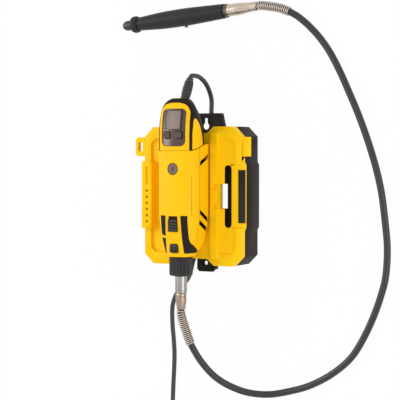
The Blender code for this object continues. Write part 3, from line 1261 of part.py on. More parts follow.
def mains_lead(rubber, plastic, brass):
    first = relief_end() + relief_axis() * GAP
    route = [first, first + relief_axis() * END_STRAIGHT] + [vector_mm(point) for point in LEAD_ROUTE_MM]
    route[-1].z = COIL_LOW_Z
    path = smooth_path(route, LEAD_STEP)
    cord("mains_lead", path, LEAD_RADIUS, rubber, 2)
    coil, centre = coil_points(route[-1] + Vector((0, -GAP, 0)))
    cord("lead_coil", coil, LEAD_RADIUS, rubber, 1)
    print(f"lead_coil least gap to itself {self_gap(coil, LEAD_RADIUS, 40 * MM) / MM:.2f} mm")
    print(f"mains lead length {(path_length(path) + path_length(coil)) / MM:.0f} mm")
    inner = COIL_OUTER_RADIUS - COIL_INWARD_TURNS * COIL_PITCH - LEAD_RADIUS - COIL_DIP - GAP
    outer = COIL_OUTER_RADIUS + LEAD_RADIUS
    top = COIL_LOW_Z + COIL_LAYER_RISE + LEAD_RADIUS + GAP
    half = TIE_WIDTH / 2
    span_y = (centre.y - half, centre.y + half)
    span_x = (centre.x + inner, centre.x + outer)
    tie = block((span_x[0] - TIE_THICK, span_x[1] + TIE_THICK), span_y, (0, top + TIE_THICK))
    combine(tie, block(span_x, (span_y[0] - half, span_y[1] + half), (TIE_THICK, top)))
    finish(tie, "coil_tie", plastic)
    plug_at = coil[-1] + Vector((GAP, 0, 0))
    nose = plug_at.x + PLUG_LENGTH
    waist = plug_at.x + PLUG_LENGTH * 0.55
    upper = [(plug_at.x, PLUG_REAR_HALF_WIDTH), (waist, PLUG_HALF_WIDTH), (nose, PLUG_HALF_WIDTH)]
    outline = [(x, plug_at.y + y) for x, y in upper] + [(x, plug_at.y - y) for x, y in upper[::-1]]
    finish(prism(outline, plug_at.z - PLUG_HALF_THICK, plug_at.z + PLUG_HALF_THICK), "plug_body", rubber)
    for side, name in [(-1, "plug_pin_low"), (1, "plug_pin_high")]:
        root = Vector((nose + GAP, plug_at.y + side * PLUG_PIN_SPACING / 2, plug_at.z))
        finish(rod(PLUG_PIN_RADIUS, root, Vector((1, 0, 0)), PLUG_PIN_LENGTH, 12), name, brass)


def main():
    clear_scene()
    yellow = finish_material("yellow plastic", (0.93, 0.55, 0.02), 0.4)
    black = finish_material("black plastic", (0.025, 0.023, 0.022), 0.5)
    rubber = finish_material("black rubber", (0.02, 0.02, 0.02), 0.6)
    steel = finish_material("steel", (0.45, 0.43, 0.4), 0.3, 1.0)
    chrome = finish_material("polished nickel", (0.62, 0.57, 0.5), 0.2, 1.0)
    brass = finish_material("brass", (0.72, 0.52, 0.22), 0.3, 1.0)
    iron = finish_material("laminated iron", (0.25, 0.24, 0.23), 0.5, 1.0)
    copper = finish_material("copper", (0.75, 0.38, 0.2), 0.3, 1.0)
    carbon = finish_material("carbon", (0.03, 0.03, 0.03), 0.8)
    glass = finish_material("dark window", (0.03, 0.025, 0.025), 0.12)
    screen = finish_material("screen", (0.28, 0.23, 0.2), 0.3)
    board = finish_material("circuit board", (0.03, 0.2, 0.08), 0.5)
    wall_shell(black)
    front_tray(yellow)
    label_plate(black)
    tray_screws(steel)
    front_housing(yellow)
    rear_housing(yellow)
    rear_cap(black)
    display(yellow, glass, screen, rubber, board)
    side_inlays(yellow)
    grips(rubber)
    brush_sets(steel, brass, carbon)
    motor(steel, iron, copper, black)
    controls(rubber, black)
    coupling(rubber, steel, chrome)
    flexible_shaft(rubber, chrome)
    handpiece(rubber, steel, chrome, black)
    strain_relief(rubber)
    mains_lead(rubber, rubber, brass)


main()
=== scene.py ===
# %% [markdown]
# # A rotary tool with a flexible shaft
# The object is a mains rotary tool clipped into its wall holder. A flexible shaft leaves its nose and ends in
# a slim handpiece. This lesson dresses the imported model: it loads the fixed frame, sets up a camera and
# light, makes the finishes, and then makes one piece after another in finer detail than the solids have.

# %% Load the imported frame
import json
import math

import bmesh
import bpy
from mathutils import Matrix, Vector


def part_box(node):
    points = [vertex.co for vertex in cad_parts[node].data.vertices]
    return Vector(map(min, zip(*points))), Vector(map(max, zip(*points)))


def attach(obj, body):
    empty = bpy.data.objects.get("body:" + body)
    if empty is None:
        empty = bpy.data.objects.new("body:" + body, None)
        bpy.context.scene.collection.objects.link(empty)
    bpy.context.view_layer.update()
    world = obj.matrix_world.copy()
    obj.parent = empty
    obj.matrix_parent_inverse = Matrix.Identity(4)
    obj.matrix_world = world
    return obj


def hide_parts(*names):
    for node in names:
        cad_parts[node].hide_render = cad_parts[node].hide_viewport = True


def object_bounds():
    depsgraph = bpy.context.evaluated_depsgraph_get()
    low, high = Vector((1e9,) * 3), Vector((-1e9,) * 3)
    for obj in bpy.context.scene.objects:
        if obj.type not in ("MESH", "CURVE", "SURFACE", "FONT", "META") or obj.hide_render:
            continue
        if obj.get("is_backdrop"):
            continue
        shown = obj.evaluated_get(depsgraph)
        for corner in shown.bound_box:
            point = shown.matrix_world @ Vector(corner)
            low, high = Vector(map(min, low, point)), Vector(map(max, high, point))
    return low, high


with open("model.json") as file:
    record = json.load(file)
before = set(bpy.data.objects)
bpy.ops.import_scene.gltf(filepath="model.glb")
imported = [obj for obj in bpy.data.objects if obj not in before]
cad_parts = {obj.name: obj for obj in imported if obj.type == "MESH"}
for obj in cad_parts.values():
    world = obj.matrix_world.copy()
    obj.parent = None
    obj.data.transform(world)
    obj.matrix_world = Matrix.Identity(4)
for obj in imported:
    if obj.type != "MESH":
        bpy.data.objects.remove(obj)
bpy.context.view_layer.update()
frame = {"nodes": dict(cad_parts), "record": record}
MM = 0.001
GAP = 0.3 * MM
nodes = frame["nodes"]
record = frame["record"]
body_of_node = {node: body for body, members in record["behaviour"]["bodies"].items() for node in members}
print(f"{len(nodes)} nodes on {len(set(body_of_node.values()))} bodies")

# %% [markdown]
# ## The camera
# The photograph looks at the holder's front from a little to its right, from about two metres away, through
# a long lens. The holder lies on its back here, so the camera looks down at it, and the top of the picture is
# the far end of the tool. Three axes make the camera's matrix: its right, its up, and back towards itself.

# %% Camera
CAMERA_YAW = math.radians(28)
CAMERA_PITCH = math.radians(2.1)
CAMERA_PLACE = Vector((0.834, 0.0624, 1.5939))
CAMERA_LENS = 129.6

camera_back = Vector((math.sin(CAMERA_YAW) * math.cos(CAMERA_PITCH), math.sin(CAMERA_PITCH),
                      math.cos(CAMERA_YAW) * math.cos(CAMERA_PITCH)))
camera_right = Vector((math.cos(CAMERA_YAW), 0, -math.sin(CAMERA_YAW)))
camera_up = camera_back.cross(camera_right)
camera = bpy.data.objects.new("camera", bpy.data.cameras.new("camera"))
camera.data.lens = CAMERA_LENS
camera.data.sensor_width = 36
camera.data.clip_end = 20
camera_turn = Matrix((camera_right, camera_up, camera_back)).transposed().to_4x4()
camera.matrix_world = Matrix.Translation(CAMERA_PLACE) @ camera_turn
bpy.context.collection.objects.link(camera)
bpy.context.scene.camera = camera
bpy.context.scene.view_settings.view_transform = "Standard"
print("camera at", tuple(round(value, 3) for value in CAMERA_PLACE))

# %% [markdown]
# ## Shader tools
# A finish is a network of nodes. Linking them by hand is slow to read, so one small class wraps a socket and
# lets Python's operators add the Math nodes, and one method makes every other node. Colours go through a Mix
# node, because a Math node would turn them grey.


# %% A socket that takes part in arithmetic
class Value:
    """One output socket of a node."""

    def __init__(self, maker, socket):
        self.maker = maker
        self.socket = socket

    def sibling(self, name):
        """Another output of the same node."""
        return Value(self.maker, self.socket.node.outputs[name])

    def maths(self, operation, first, second):
        return self.maker.node("ShaderNodeMath", {"operation": operation}, {0: first, 1: second})

    def __add__(self, other):
        return self.maths("ADD", self, other)

    def __radd__(self, other):
        return self.maths("ADD", other, self)

    def __sub__(self, other):
        return self.maths("SUBTRACT", self, other)

    def __rsub__(self, other):
        return self.maths("SUBTRACT", other, self)

    def __mul__(self, other):
        return self.maths("MULTIPLY", self, other)

    def __rmul__(self, other):
        return self.maths("MULTIPLY", other, self)

    def __gt__(self, other):
        return self.maths("GREATER_THAN", self, other)

    def __lt__(self, other):
        return self.maths("LESS_THAN", self, other)


# %% A maker of nodes, and the finish that uses it
class NodeMaker:
    """Adds nodes to one node tree."""

    def __init__(self, tree):
        self.tree = tree

    def node(self, kind, settings=None, sockets=None, output=0):
        """Make a node: its settings first, then the values or links of its sockets."""
        made = self.tree.nodes.new(kind)
        for name, setting in (settings or {}).items():
            setattr(made, name, setting)
        for name, value in (sockets or {}).items():
            self.feed(made.inputs[name], value)
        return Value(self, made.outputs[output])

    def feed(self, socket, value):
        if isinstance(value, Value):
            self.tree.links.new(value.socket, socket)
        else:
            socket.default_value = value


class Finish(NodeMaker):
    """A material with one principled shader."""

    def __init__(self, name, specular=0.5, metallic=0.0, coat=0.0):
        self.material = bpy.data.materials.new(name)
        self.material.use_nodes = True
        super().__init__(self.material.node_tree)
        self.shader = self.tree.nodes["Principled BSDF"]
        self.set("Specular IOR Level", specular)
        self.set("Metallic", metallic)
        self.set("Coat Weight", coat)
        self.place = self.node("ShaderNodeTexCoord", output="Object")

    def set(self, socket, value):
        self.feed(self.shader.inputs[socket], value)

    def noise(self, size, detail=2.0, place=None):
        """Cloudy noise whose features are about the given size in metres."""
        sockets = {"Vector": place or self.place, "Scale": 1 / size, "Detail": detail}
        return self.node("ShaderNodeTexNoise", {}, sockets)

    def along(self, axis):
        """How far a point lies along an axis."""
        settings = {"operation": "DOT_PRODUCT"}
        return self.node("ShaderNodeVectorMath", settings, {0: self.place, 1: axis}, "Value")

    def rings(self, axis, size):
        """Noise that changes only along an axis, as a lathe's marks do."""
        sockets = {"W": self.along(axis), "Scale": 1 / size, "Detail": 3.0}
        return self.node("ShaderNodeTexNoise", {"noise_dimensions": "1D"}, sockets)

    def blend(self, share, first, second):
        """A colour between two, by a share from 0 to 1."""
        ends = [colour if isinstance(colour, Value) else (*colour, 1) for colour in (first, second)]
        return self.node("ShaderNodeMix", {"data_type": "RGBA"}, {0: share, 6: ends[0], 7: ends[1]}, 2)

    def bump(self, height, distance):
        sockets = {"Strength": 1.0, "Distance": distance, "Height": height}
        self.set("Normal", self.node("ShaderNodeBump", {}, sockets))


print("shader tools ready")

# %% [markdown]
# ## Floor, world and lamps
# The photograph has a white ground that runs right up to the object. The floor stays a pale surface for the
# light that bounces on it, but what the camera, glossy and clear surfaces see of it is nearly white, with a
# faint shadow. Soft light comes from all round, with one broad lamp at the front left and one at the right.

# %% Floor
FLOOR_BELOW = 0.4 * MM
FLOOR_GLOW = 0.96

bm = bmesh.new()
bmesh.ops.create_grid(bm, x_segments=1, y_segments=1, size=4)
bmesh.ops.translate(bm, verts=bm.verts, vec=(0, 0, -FLOOR_BELOW))
floor = bpy.data.objects.new("floor", bpy.data.meshes.new("floor"))
bm.to_mesh(floor.data)
bm.free()
bpy.context.collection.objects.link(floor)
pale = Finish("studio_floor", specular=0.0)
pale.set("Base Color", pale.blend(pale.noise(0.3), (0.86, 0.86, 0.86), (0.9, 0.9, 0.9)))
pale.set("Roughness", 0.9)


def seen_directly(maker):
    """1 for rays from the camera or by way of metal and glass, 0 for rays that carry light."""
    camera_ray = maker.node("ShaderNodeLightPath", output="Is Camera Ray")
    return camera_ray + camera_ray.sibling("Is Glossy Ray") + camera_ray.sibling("Is Transmission Ray")


glow = pale.node("ShaderNodeEmission", {}, {"Color": (1, 1, 1, 1), "Strength": 1.0})
lit = Value(pale, pale.shader.outputs[0])
ground = pale.node("ShaderNodeMixShader", {}, {0: seen_directly(pale) * FLOOR_GLOW, 1: lit, 2: glow})
pale.feed(pale.tree.nodes["Material Output"].inputs["Surface"], ground)
floor.data.materials.append(pale.material)
floor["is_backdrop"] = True
print("floor at", -FLOOR_BELOW)

# %% World and lamps
SKY_LEVEL = 0.86
LAMP_AIM = Vector((0, 0, 0.05))

world = bpy.data.worlds.new("studio")
world.use_nodes = True
bpy.context.scene.world = world
sky = NodeMaker(world.node_tree)
light_sky = sky.node("ShaderNodeBackground", {}, {"Color": (1, 1, 1, 1), "Strength": SKY_LEVEL})
seen_sky = sky.node("ShaderNodeBackground", {}, {"Color": (1, 1, 1, 1), "Strength": 1.0})
both = sky.node("ShaderNodeMixShader", {}, {0: seen_directly(sky), 1: light_sky, 2: seen_sky})
sky.feed(world.node_tree.nodes["World Output"].inputs["Surface"], both)


def lamp(name, place, watts, size):
    """A square lamp that shines at the tool."""
    light = bpy.data.lights.new(name, "AREA")
    light.energy = watts
    light.size = size
    obj = bpy.data.objects.new(name, light)
    turn = (Vector(place) - LAMP_AIM).to_track_quat("Z", "Y").to_matrix().to_4x4()
    obj.matrix_world = Matrix.Translation(place) @ turn
    bpy.context.collection.objects.link(obj)


lamp("key_lamp", (-1.3, 0.4, 1.3), 11, 1.0)
lamp("side_lamp", (1.7, -0.1, 0.8), 8, 1.2)
print("sky level", SKY_LEVEL)

# %% [markdown]
# ## Plastics
# Moulded plastic isn't one flat colour: the pigment varies a little over a hand's width, and the mould leaves
# a fine grain. Three sizes of noise give that: a broad one for the colour, a middle one for the gloss and a
# fine one for the grain, which is a bump of a few hundredths of a millimetre.

# %% Plastic finishes
COLOUR_DRIFT = 25 * MM
GLOSS_DRIFT = 6 * MM


def moulded(name, light, dark, roughness, grain, depth, specular=0.5):
    """A moulded plastic with a broad drift of colour and a fine grain."""
    finish = Finish(name, specular)
    finish.set("Base Color", finish.blend(finish.noise(COLOUR_DRIFT), dark, light))
    finish.set("Roughness", roughness - 0.05 + 0.1 * finish.noise(GLOSS_DRIFT))
    finish.bump(finish.noise(grain, 3.0), depth)
    return finish


yellow_plastic = moulded("yellow_plastic", (0.97, 0.55, 0.004), (0.94, 0.51, 0.003), 0.45, 0.5 * MM,
                         0.04 * MM, 0.12)
# The tray is the same yellow plastic with a paler, greener base: painted light for the low wings, which get
# less light among the tool and ribs.
tray_plastic_painted_light = moulded("tray_plastic_painted_light", (0.99, 0.61, 0.003), (0.96, 0.57, 0.002), 0.48, 0.5 * MM, 0.04 * MM,
                       0.1)
black_plastic = moulded("black_plastic", (0.018, 0.0125, 0.009), (0.012, 0.0085, 0.0065), 0.5, 0.6 * MM,
                        0.06 * MM, 0.1)
plate_plastic = moulded("plate_plastic", (0.01, 0.008, 0.007), (0.007, 0.006, 0.005), 0.4, 0.8 * MM,
                        0.02 * MM, 0.2)
black_rubber = moulded("black_rubber", (0.012, 0.0095, 0.007), (0.008, 0.006, 0.005), 0.6, 0.4 * MM,
                       0.07 * MM, 0.2)
nut_rubber = moulded("nut_rubber", (0.014, 0.0125, 0.0115), (0.01, 0.009, 0.0085), 0.38, 0.5 * MM,
                     0.03 * MM, 0.4)
handle_rubber = moulded("handle_rubber", (0.017, 0.0158, 0.0155), (0.01, 0.0092, 0.009), 0.5, 0.9 * MM,
                        0.12 * MM, 0.3)
sheath_rubber = moulded("sheath_rubber", (0.024, 0.023, 0.022), (0.018, 0.017, 0.0165), 0.36, 0.7 * MM,
                        0.03 * MM)
lead_rubber = moulded("lead_rubber", (0.036, 0.034, 0.033), (0.027, 0.025, 0.024), 0.4, 0.7 * MM, 0.03 * MM)
brush_plastic = moulded("brush_plastic", (0.19, 0.13, 0.112), (0.15, 0.103, 0.089), 0.5, 0.5 * MM,
                        0.05 * MM, 0.35)
print("plastic finishes made")

# %% [markdown]
# ## Metals
# The ferrules are nickel-plated and turned on a lathe, so their marks run round them. A noise that changes
# only along the axis gives those marks in the gloss and in a very shallow bump. The parts inside the tool get
# plain metals with a grain of their own: laminated iron shows its sheets, and the commutator its bars.

# %% Metal finishes
TOOL_AXIS = (0, 1, 0)
HANDPIECE_TURN = math.radians(185.2)
HANDPIECE_AXIS = (math.cos(HANDPIECE_TURN), math.sin(HANDPIECE_TURN), 0)


def turned_metal(name, light, dark, roughness, axis, mark=0.5 * MM):
    """A metal with the marks of a lathe across an axis."""
    finish = Finish(name, metallic=1.0)
    marks = finish.rings(axis, mark)
    finish.set("Base Color", finish.blend(finish.noise(8 * MM), dark, light))
    finish.set("Roughness", roughness - 0.06 + 0.12 * marks)
    finish.bump(marks, 0.01 * MM)
    return finish


nickel = turned_metal("polished_nickel", (0.4, 0.38, 0.365), (0.31, 0.295, 0.28), 0.22, TOOL_AXIS)
crimp_nickel = turned_metal("crimp_nickel", (0.4, 0.315, 0.25), (0.32, 0.25, 0.2), 0.28, TOOL_AXIS)
far_nickel = turned_metal("far_nickel", (0.61, 0.515, 0.44), (0.52, 0.43, 0.36), 0.24, HANDPIECE_AXIS)
ring_nickel = turned_metal("ring_nickel", (0.16, 0.135, 0.108), (0.12, 0.102, 0.082), 0.3, HANDPIECE_AXIS)
spring_wire = turned_metal("spring_wire", (0.62, 0.54, 0.47), (0.5, 0.43, 0.37), 0.3, (1, 1, 1), 3 * MM)
steel = turned_metal("steel", (0.5, 0.48, 0.46), (0.42, 0.4, 0.38), 0.32, TOOL_AXIS)
collet_steel = turned_metal("collet_steel", (0.1, 0.09, 0.09), (0.075, 0.067, 0.067), 0.34, HANDPIECE_AXIS)
brass = turned_metal("brass", (0.74, 0.54, 0.25), (0.66, 0.46, 0.19), 0.3, (1, 0, 0))
iron = turned_metal("laminated_iron", (0.05, 0.048, 0.046), (0.035, 0.033, 0.031), 0.5, TOOL_AXIS, 0.8 * MM)
copper = turned_metal("copper", (0.78, 0.4, 0.22), (0.62, 0.3, 0.15), 0.34, (0.7, 0, 0.7), 1.5 * MM)
carbon = moulded("carbon", (0.035, 0.034, 0.033), (0.02, 0.02, 0.02), 0.75, 0.3 * MM, 0.05 * MM)
print("metal finishes made")

# %% [markdown]
# ## Window, screen and board
# The window is a dark clear plastic with a hard, slightly warm gloss over a near-black base. The screen is a
# grey-brown liquid-crystal panel, unlit, with its cells as a fine grid and a darker bar along its right
# edge. Comparing the object coordinate with the bar's place gives that bar without any image.

# %% Window, screen and board finishes
SCREEN_BAR_X = 8.7 * MM
SCREEN_CELL = 0.55 * MM

window_gloss = Finish("dark_window", specular=0.9)
window_gloss.set("Specular Tint", (1, 0.76, 0.68, 1))
window_gloss.set("Base Color", window_gloss.blend(window_gloss.noise(15 * MM), (0.03, 0.022, 0.02),
                                                  (0.045, 0.034, 0.03)))
window_gloss.set("Roughness", 0.12 + 0.06 * window_gloss.noise(10 * MM))

screen = Finish("screen", specular=0.4)
cells = screen.rings((1, 0, 0), SCREEN_CELL) * screen.rings((0, 1, 0), SCREEN_CELL)
panel = screen.blend(cells, (0.2, 0.15, 0.122), (0.29, 0.228, 0.187))
# Painted shade: the screen's colour darkens towards its left edge.
shade = {0: screen.along((1, 0, 0)), 1: -11 * MM, 2: -4 * MM, 3: 0.75, 4: 0.0}
left_shade = screen.node("ShaderNodeMapRange", {}, shade)
panel = screen.blend(left_shade, panel, (0.05, 0.038, 0.034))
bar = screen.along((1, 0, 0)) > SCREEN_BAR_X
screen.set("Base Color", screen.blend(bar, panel, (0.012, 0.01, 0.008)))
screen.set("Roughness", 0.3 + 0.1 * screen.noise(3 * MM))

board = moulded("circuit_board", (0.03, 0.16, 0.06), (0.02, 0.1, 0.04), 0.45, 0.7 * MM, 0.06 * MM)
key_print = moulded("key_print", (0.22, 0.19, 0.17), (0.18, 0.15, 0.135), 0.5, 0.4 * MM, 0.02 * MM)
print("window, screen and board finishes made")

# %% [markdown]
# ## Tools for pieces
# Every new piece takes the place of a node of the imported model and rides on that node's body.
# A shape is made as a loose object first, so that other shapes can be cut from it, and is then dressed: its
# doubles are merged, its normals set, and a bevel catches the light along its edges.

# %% Enrol and dress a piece
MERGE_WITHIN = 0.003 * MM


def enrol(obj, finish, *stands_for):
    """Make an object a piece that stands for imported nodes, named after the first of them."""
    obj.name = stands_for[0] + "_fine"
    obj.data.name = obj.name
    obj.data.materials.clear()
    obj.data.materials.append(finish.material)
    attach(obj, body_of_node[stands_for[0]])
    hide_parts(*stands_for)
    return obj


def as_object(bm):
    obj = bpy.data.objects.new("shape", bpy.data.meshes.new("shape"))
    bm.to_mesh(obj.data)
    bm.free()
    bpy.context.collection.objects.link(obj)
    return obj


def dress(obj, finish, *stands_for, soft_edge=0.0, sharp=32, steps=2):
    """Clean a shape, smooth it, round its edges and enrol it."""
    bm = bmesh.new()
    bm.from_mesh(obj.data)
    bmesh.ops.remove_doubles(bm, verts=bm.verts, dist=MERGE_WITHIN)
    bmesh.ops.dissolve_limit(bm, angle_limit=math.radians(0.2), verts=bm.verts, edges=bm.edges)
    bm.to_mesh(obj.data)
    bm.free()
    obj.data.shade_smooth()
    if soft_edge:
        bevel = obj.modifiers.new("soft edges", "BEVEL")
        bevel.width = soft_edge
        bevel.segments = steps
        bevel.limit_method = "ANGLE"
        bevel.angle_limit = math.radians(sharp)
        bevel.use_clamp_overlap = False
        bevel.harden_normals = True
    else:
        obj.data.set_sharp_from_angle(angle=math.radians(sharp))
    return enrol(obj, finish, *stands_for)


def copy_of(node):
    """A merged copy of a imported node's mesh, as a loose object."""
    bm = bmesh.new()
    bm.from_mesh(nodes[node].data)
    bmesh.ops.remove_doubles(bm, verts=bm.verts, dist=MERGE_WITHIN)
    bmesh.ops.dissolve_limit(bm, angle_limit=math.radians(0.5), verts=bm.verts, edges=bm.edges)
    return as_object(bm)


def corners(node):
    """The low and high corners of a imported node's box."""
    return [Vector(corner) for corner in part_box(node)]


def soften(node, finish, soft_edge, **edges):
    """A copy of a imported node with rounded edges."""
    return dress(copy_of(node), finish, node, soft_edge=soft_edge, **edges)


print("piece tools ready")


# %% Basic shapes and cuts
def prism(outline, low, high, turn=Matrix.Identity(4)):
    """A flat outline extruded from low to high, then turned into place."""
    bm = bmesh.new()
    face = bm.faces.new([bm.verts.new((x, y, low)) for x, y in outline])
    grown_region = bmesh.ops.extrude_face_region(bm, geom=[face])
    top = [item for item in grown_region["geom"] if isinstance(item, bmesh.types.BMVert)]
    bmesh.ops.translate(bm, verts=top, vec=(0, 0, high - low))
    bmesh.ops.recalc_face_normals(bm, faces=bm.faces)
    bm.transform(turn)
    return as_object(bm)


def block(x, y, z):
    """A box from three (low, high) pairs."""
    return prism([(x[0], y[0]), (x[1], y[0]), (x[1], y[1]), (x[0], y[1])], z[0], z[1])


def lathe(profile, origin, direction, steps=64, bore=False):
    """Spin a profile of (radius, distance along) points about an axis."""
    bm = bmesh.new()
    verts = [bm.verts.new((radius, 0, along)) for radius, along in profile]
    edges = [bm.edges.new(pair) for pair in zip(verts, verts[1:])]
    if bore:
        edges.append(bm.edges.new((verts[-1], verts[0])))
    bmesh.ops.spin(bm, geom=verts + edges, cent=(0, 0, 0), axis=(0, 0, 1), angle=2 * math.pi, steps=steps,
                   use_merge=True)
    bmesh.ops.remove_doubles(bm, verts=bm.verts, dist=0.001 * MM)
    bmesh.ops.recalc_face_normals(bm, faces=bm.faces)
    turn = Vector((0, 0, 1)).rotation_difference(Vector(direction)).to_matrix().to_4x4()
    bm.transform(Matrix.Translation(origin) @ turn)
    return as_object(bm)


def rod(radius, origin, direction, length, steps=48):
    return lathe([(0, 0), (radius, 0), (radius, length), (0, length)], origin, direction, steps)


def cut(target, tool, operation="DIFFERENCE"):
    """Apply one Boolean of the loose object tool to target, and remove tool."""
    modifier = target.modifiers.new("cut", "BOOLEAN")
    modifier.operation = operation
    modifier.object = tool
    modifier.solver = "EXACT"
    depsgraph = bpy.context.evaluated_depsgraph_get()
    mesh = bpy.data.meshes.new_from_object(target.evaluated_get(depsgraph))
    target.modifiers.clear()
    target.data = mesh
    bpy.data.objects.remove(tool, do_unlink=True)
    return target


def rounded(half_width, half_height, radius, centre=(0, 0), corner_points=8):
    """A rounded rectangle outline."""
    outline = []
    for quarter, (side_x, side_y) in enumerate([(1, 1), (-1, 1), (-1, -1), (1, -1)]):
        for step in range(corner_points + 1):
            angle = math.pi / 2 * (quarter + step / corner_points)
            outline.append((centre[0] + side_x * (half_width - radius) + radius * math.cos(angle),
                            centre[1] + side_y * (half_height - radius) + radius * math.sin(angle)))
    return outline


OUT = Vector((0, 0, 1))
UP = Vector((0, 1, 0))
DOWN = Vector((0, -1, 0))
SIDEWAYS = Matrix(((0, 0, 1, 0), (1, 0, 0, 0), (0, 1, 0, 0), (0, 0, 0, 1)))
print("shape tools ready")

# %% [markdown]
# ## The flexible shaft's sheath
# The sheath is a thick black rubber tube that leaves the crimp sleeve under the nose, drops to the surface,
# sweeps round to the right and comes back to the handpiece at the top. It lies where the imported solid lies,
# so the same points carry it. A smooth curve through them, sampled closely, gives a tube without corners.

# %% A smooth path through a route
END_STRAIGHT = 3 * MM
PATH_SAMPLES = 24
PATH_STEP = 4 * MM


def path_length(points):
    return sum((end - start).length for start, end in zip(points, points[1:]))


def hermite(start, end, slope_in, slope_out, t):
    """The value at share t of a smooth curve with a slope at each end."""
    return (start * (2 * t ** 3 - 3 * t ** 2 + 1) + slope_in * (t ** 3 - 2 * t ** 2 + t)
            + end * (3 * t ** 2 - 2 * t ** 3) + slope_out * (t ** 3 - t ** 2))


def smooth_path(route, step):
    """Points about one step apart on a smooth curve through the route's points."""
    ends = [2 * route[0] - route[1]] + route + [2 * route[-1] - route[-2]]
    fine = []
    for before, start, end, after in zip(ends, ends[1:], ends[2:], ends[3:]):
        for index in range(PATH_SAMPLES):
            fine.append(hermite(start, end, (end - before) / 2, (after - start) / 2, index / PATH_SAMPLES))
    fine.append(route[-1])
    spacing = path_length(fine) / max(round(path_length(fine) / step), 2)
    points = [fine[0]]
    since = 0.0
    for start, end in zip(fine, fine[1:]):
        since += (end - start).length
        if since >= spacing:
            points.append(end)
            since = 0.0
    if (points[-1] - fine[-1]).length < spacing / 2:
        points.pop()
    return points + [fine[-1]]


def tube_along(points, radius, finish, *stands_for, resolution=6):
    """A round cord or wire along points."""
    curve = bpy.data.curves.new("cord", "CURVE")
    curve.dimensions = "3D"
    curve.bevel_depth = radius
    curve.bevel_resolution = resolution
    curve.use_fill_caps = True
    spline = curve.splines.new("POLY")
    spline.points.add(len(points) - 1)
    for spot, point in zip(spline.points, points):
        spot.co = (*point, 1)
    obj = bpy.data.objects.new("cord", curve)
    bpy.context.collection.objects.link(obj)
    return enrol(obj, finish, *stands_for)


print("path tools ready")

# %% The sheath
AXIS_Z = 74 * MM
CRIMP_END_Y = -133.5 * MM
SHEATH_RADIUS = 4.2 * MM
HANDPIECE_REAR = Vector((27, 229.5, 11.3)) * MM
RING_LENGTH = 5 * MM
SLEEVE_LENGTH = 38.7 * MM
FLEX_ROUTE_MM = [
    (2.4, -154, 70), (7.5, -177.5, 62), (16.5, -200, 51), (28.5, -218.5, 38.5), (44, -231, 26),
    (63, -238.5, 15.5), (88, -239.5, 8.5), (117, -233, 5), (141, -224.5, 4.3), (167.5, -209.5, 4.3),
    (191, -189.5, 4.3), (206.5, -166.5, 4.3), (220.5, -137.5, 4.3), (230.5, -109.5, 4.3), (235.7, -87.5, 4.3),
    (237.3, -56, 4.3), (234.2, -23, 4.3), (229.6, 9.7, 4.3), (222.5, 39, 4.3), (211.7, 72, 4.3),
    (199.3, 103.5, 4.3), (184.5, 136, 4.3), (175, 155.5, 4.3), (164.3, 174.5, 4.3), (153.7, 189.5, 4.5),
    (143.2, 201.5, 5.2), (131.8, 212.5, 6.5), (119, 222, 8), (101, 230, 9.8),
]

forward = Vector(HANDPIECE_AXIS)
sheath_start = Vector((0, CRIMP_END_Y - GAP, AXIS_Z))
sheath_end = HANDPIECE_REAR - forward * (RING_LENGTH + SLEEVE_LENGTH + 3 * GAP)
flex_route = [sheath_start, sheath_start + DOWN * 2 * END_STRAIGHT]
flex_route += [Vector(point) * MM for point in FLEX_ROUTE_MM]
flex_route += [sheath_end - forward * 2 * END_STRAIGHT, sheath_end]
sheath_path = smooth_path(flex_route, PATH_STEP)
sheath = tube_along(sheath_path, SHEATH_RADIUS, sheath_rubber, "flex_sheath")
print(f"sheath {path_length(sheath_path) / MM:.0f} mm long")

# %% [markdown]
# ## The guard springs
# A steel spring at each end keeps the sheath from kinking. Each is a helix wound round the sheath's own path:
# at every step along the path a point turns a little further round it. Thirty points a turn make the wire
# round where it shows.

# %% Guard springs
SPRING_WIRE = 0.75 * MM
SPRING_TURNS = 18
SPRING_LENGTH = 43 * MM
SPRING_START = 0.9 * MM
SPRING_CLEARANCE = 0.1 * MM
SPRING_PATH_STEP = 0.8 * MM
TURN_POINTS = 30


def wound(path):
    """A helix round the first stretch of a path."""
    wind = SHEATH_RADIUS + SPRING_CLEARANCE + SPRING_WIRE
    total = SPRING_TURNS * TURN_POINTS
    side = (path[1] - path[0]).orthogonal().normalized()
    travelled = 0.0
    spots = []
    for start, end in zip(path, path[1:]):
        run = (end - start).length
        heading = (end - start).normalized()
        side = (side - heading * side.dot(heading)).normalized()
        while len(spots) <= total and travelled + run >= SPRING_START + SPRING_LENGTH * len(spots) / total:
            share = (SPRING_START + SPRING_LENGTH * len(spots) / total - travelled) / run
            turn = Matrix.Rotation(2 * math.pi * len(spots) / TURN_POINTS, 3, heading)
            spots.append(start.lerp(end, share) + turn @ side * wind)
        travelled += run
    return spots


guard_springs = []
fine_sheath = smooth_path(flex_route, SPRING_PATH_STEP)
for node, stretch in [("lower_spring", fine_sheath), ("upper_spring", fine_sheath[::-1])]:
    guard_springs.append(tube_along(wound(stretch), SPRING_WIRE, spring_wire, node, resolution=3))
print(f"{len(guard_springs)} springs of {SPRING_TURNS} turns")

# %% [markdown]
# ## The sleeves on the handpiece's end
# A nickel sleeve holds the sheath, and a narrow ring closes the handpiece behind it. Both are turned parts:
# a profile spun about the handpiece's axis, with shallow grooves where the sleeve is pressed on.

# %% Upper ferrule and ring
CORE_BORE = 2.8 * MM
RING_RADIUS = 8.6 * MM
SLEEVE_REAR_RADIUS = 5.9 * MM


def grooved(radius, low, high, count, depth=0.35 * MM):
    """Profile points of a straight stretch with count shallow grooves round it."""
    points = [(radius, low)]
    pitch = (high - low) / (count + 1)
    for index in range(1, count + 1):
        middle = low + index * pitch
        points += [(radius, middle - pitch * 0.2), (radius - depth, middle - pitch * 0.1),
                   (radius - depth, middle + pitch * 0.1), (radius, middle + pitch * 0.2)]
    return points + [(radius, high)]


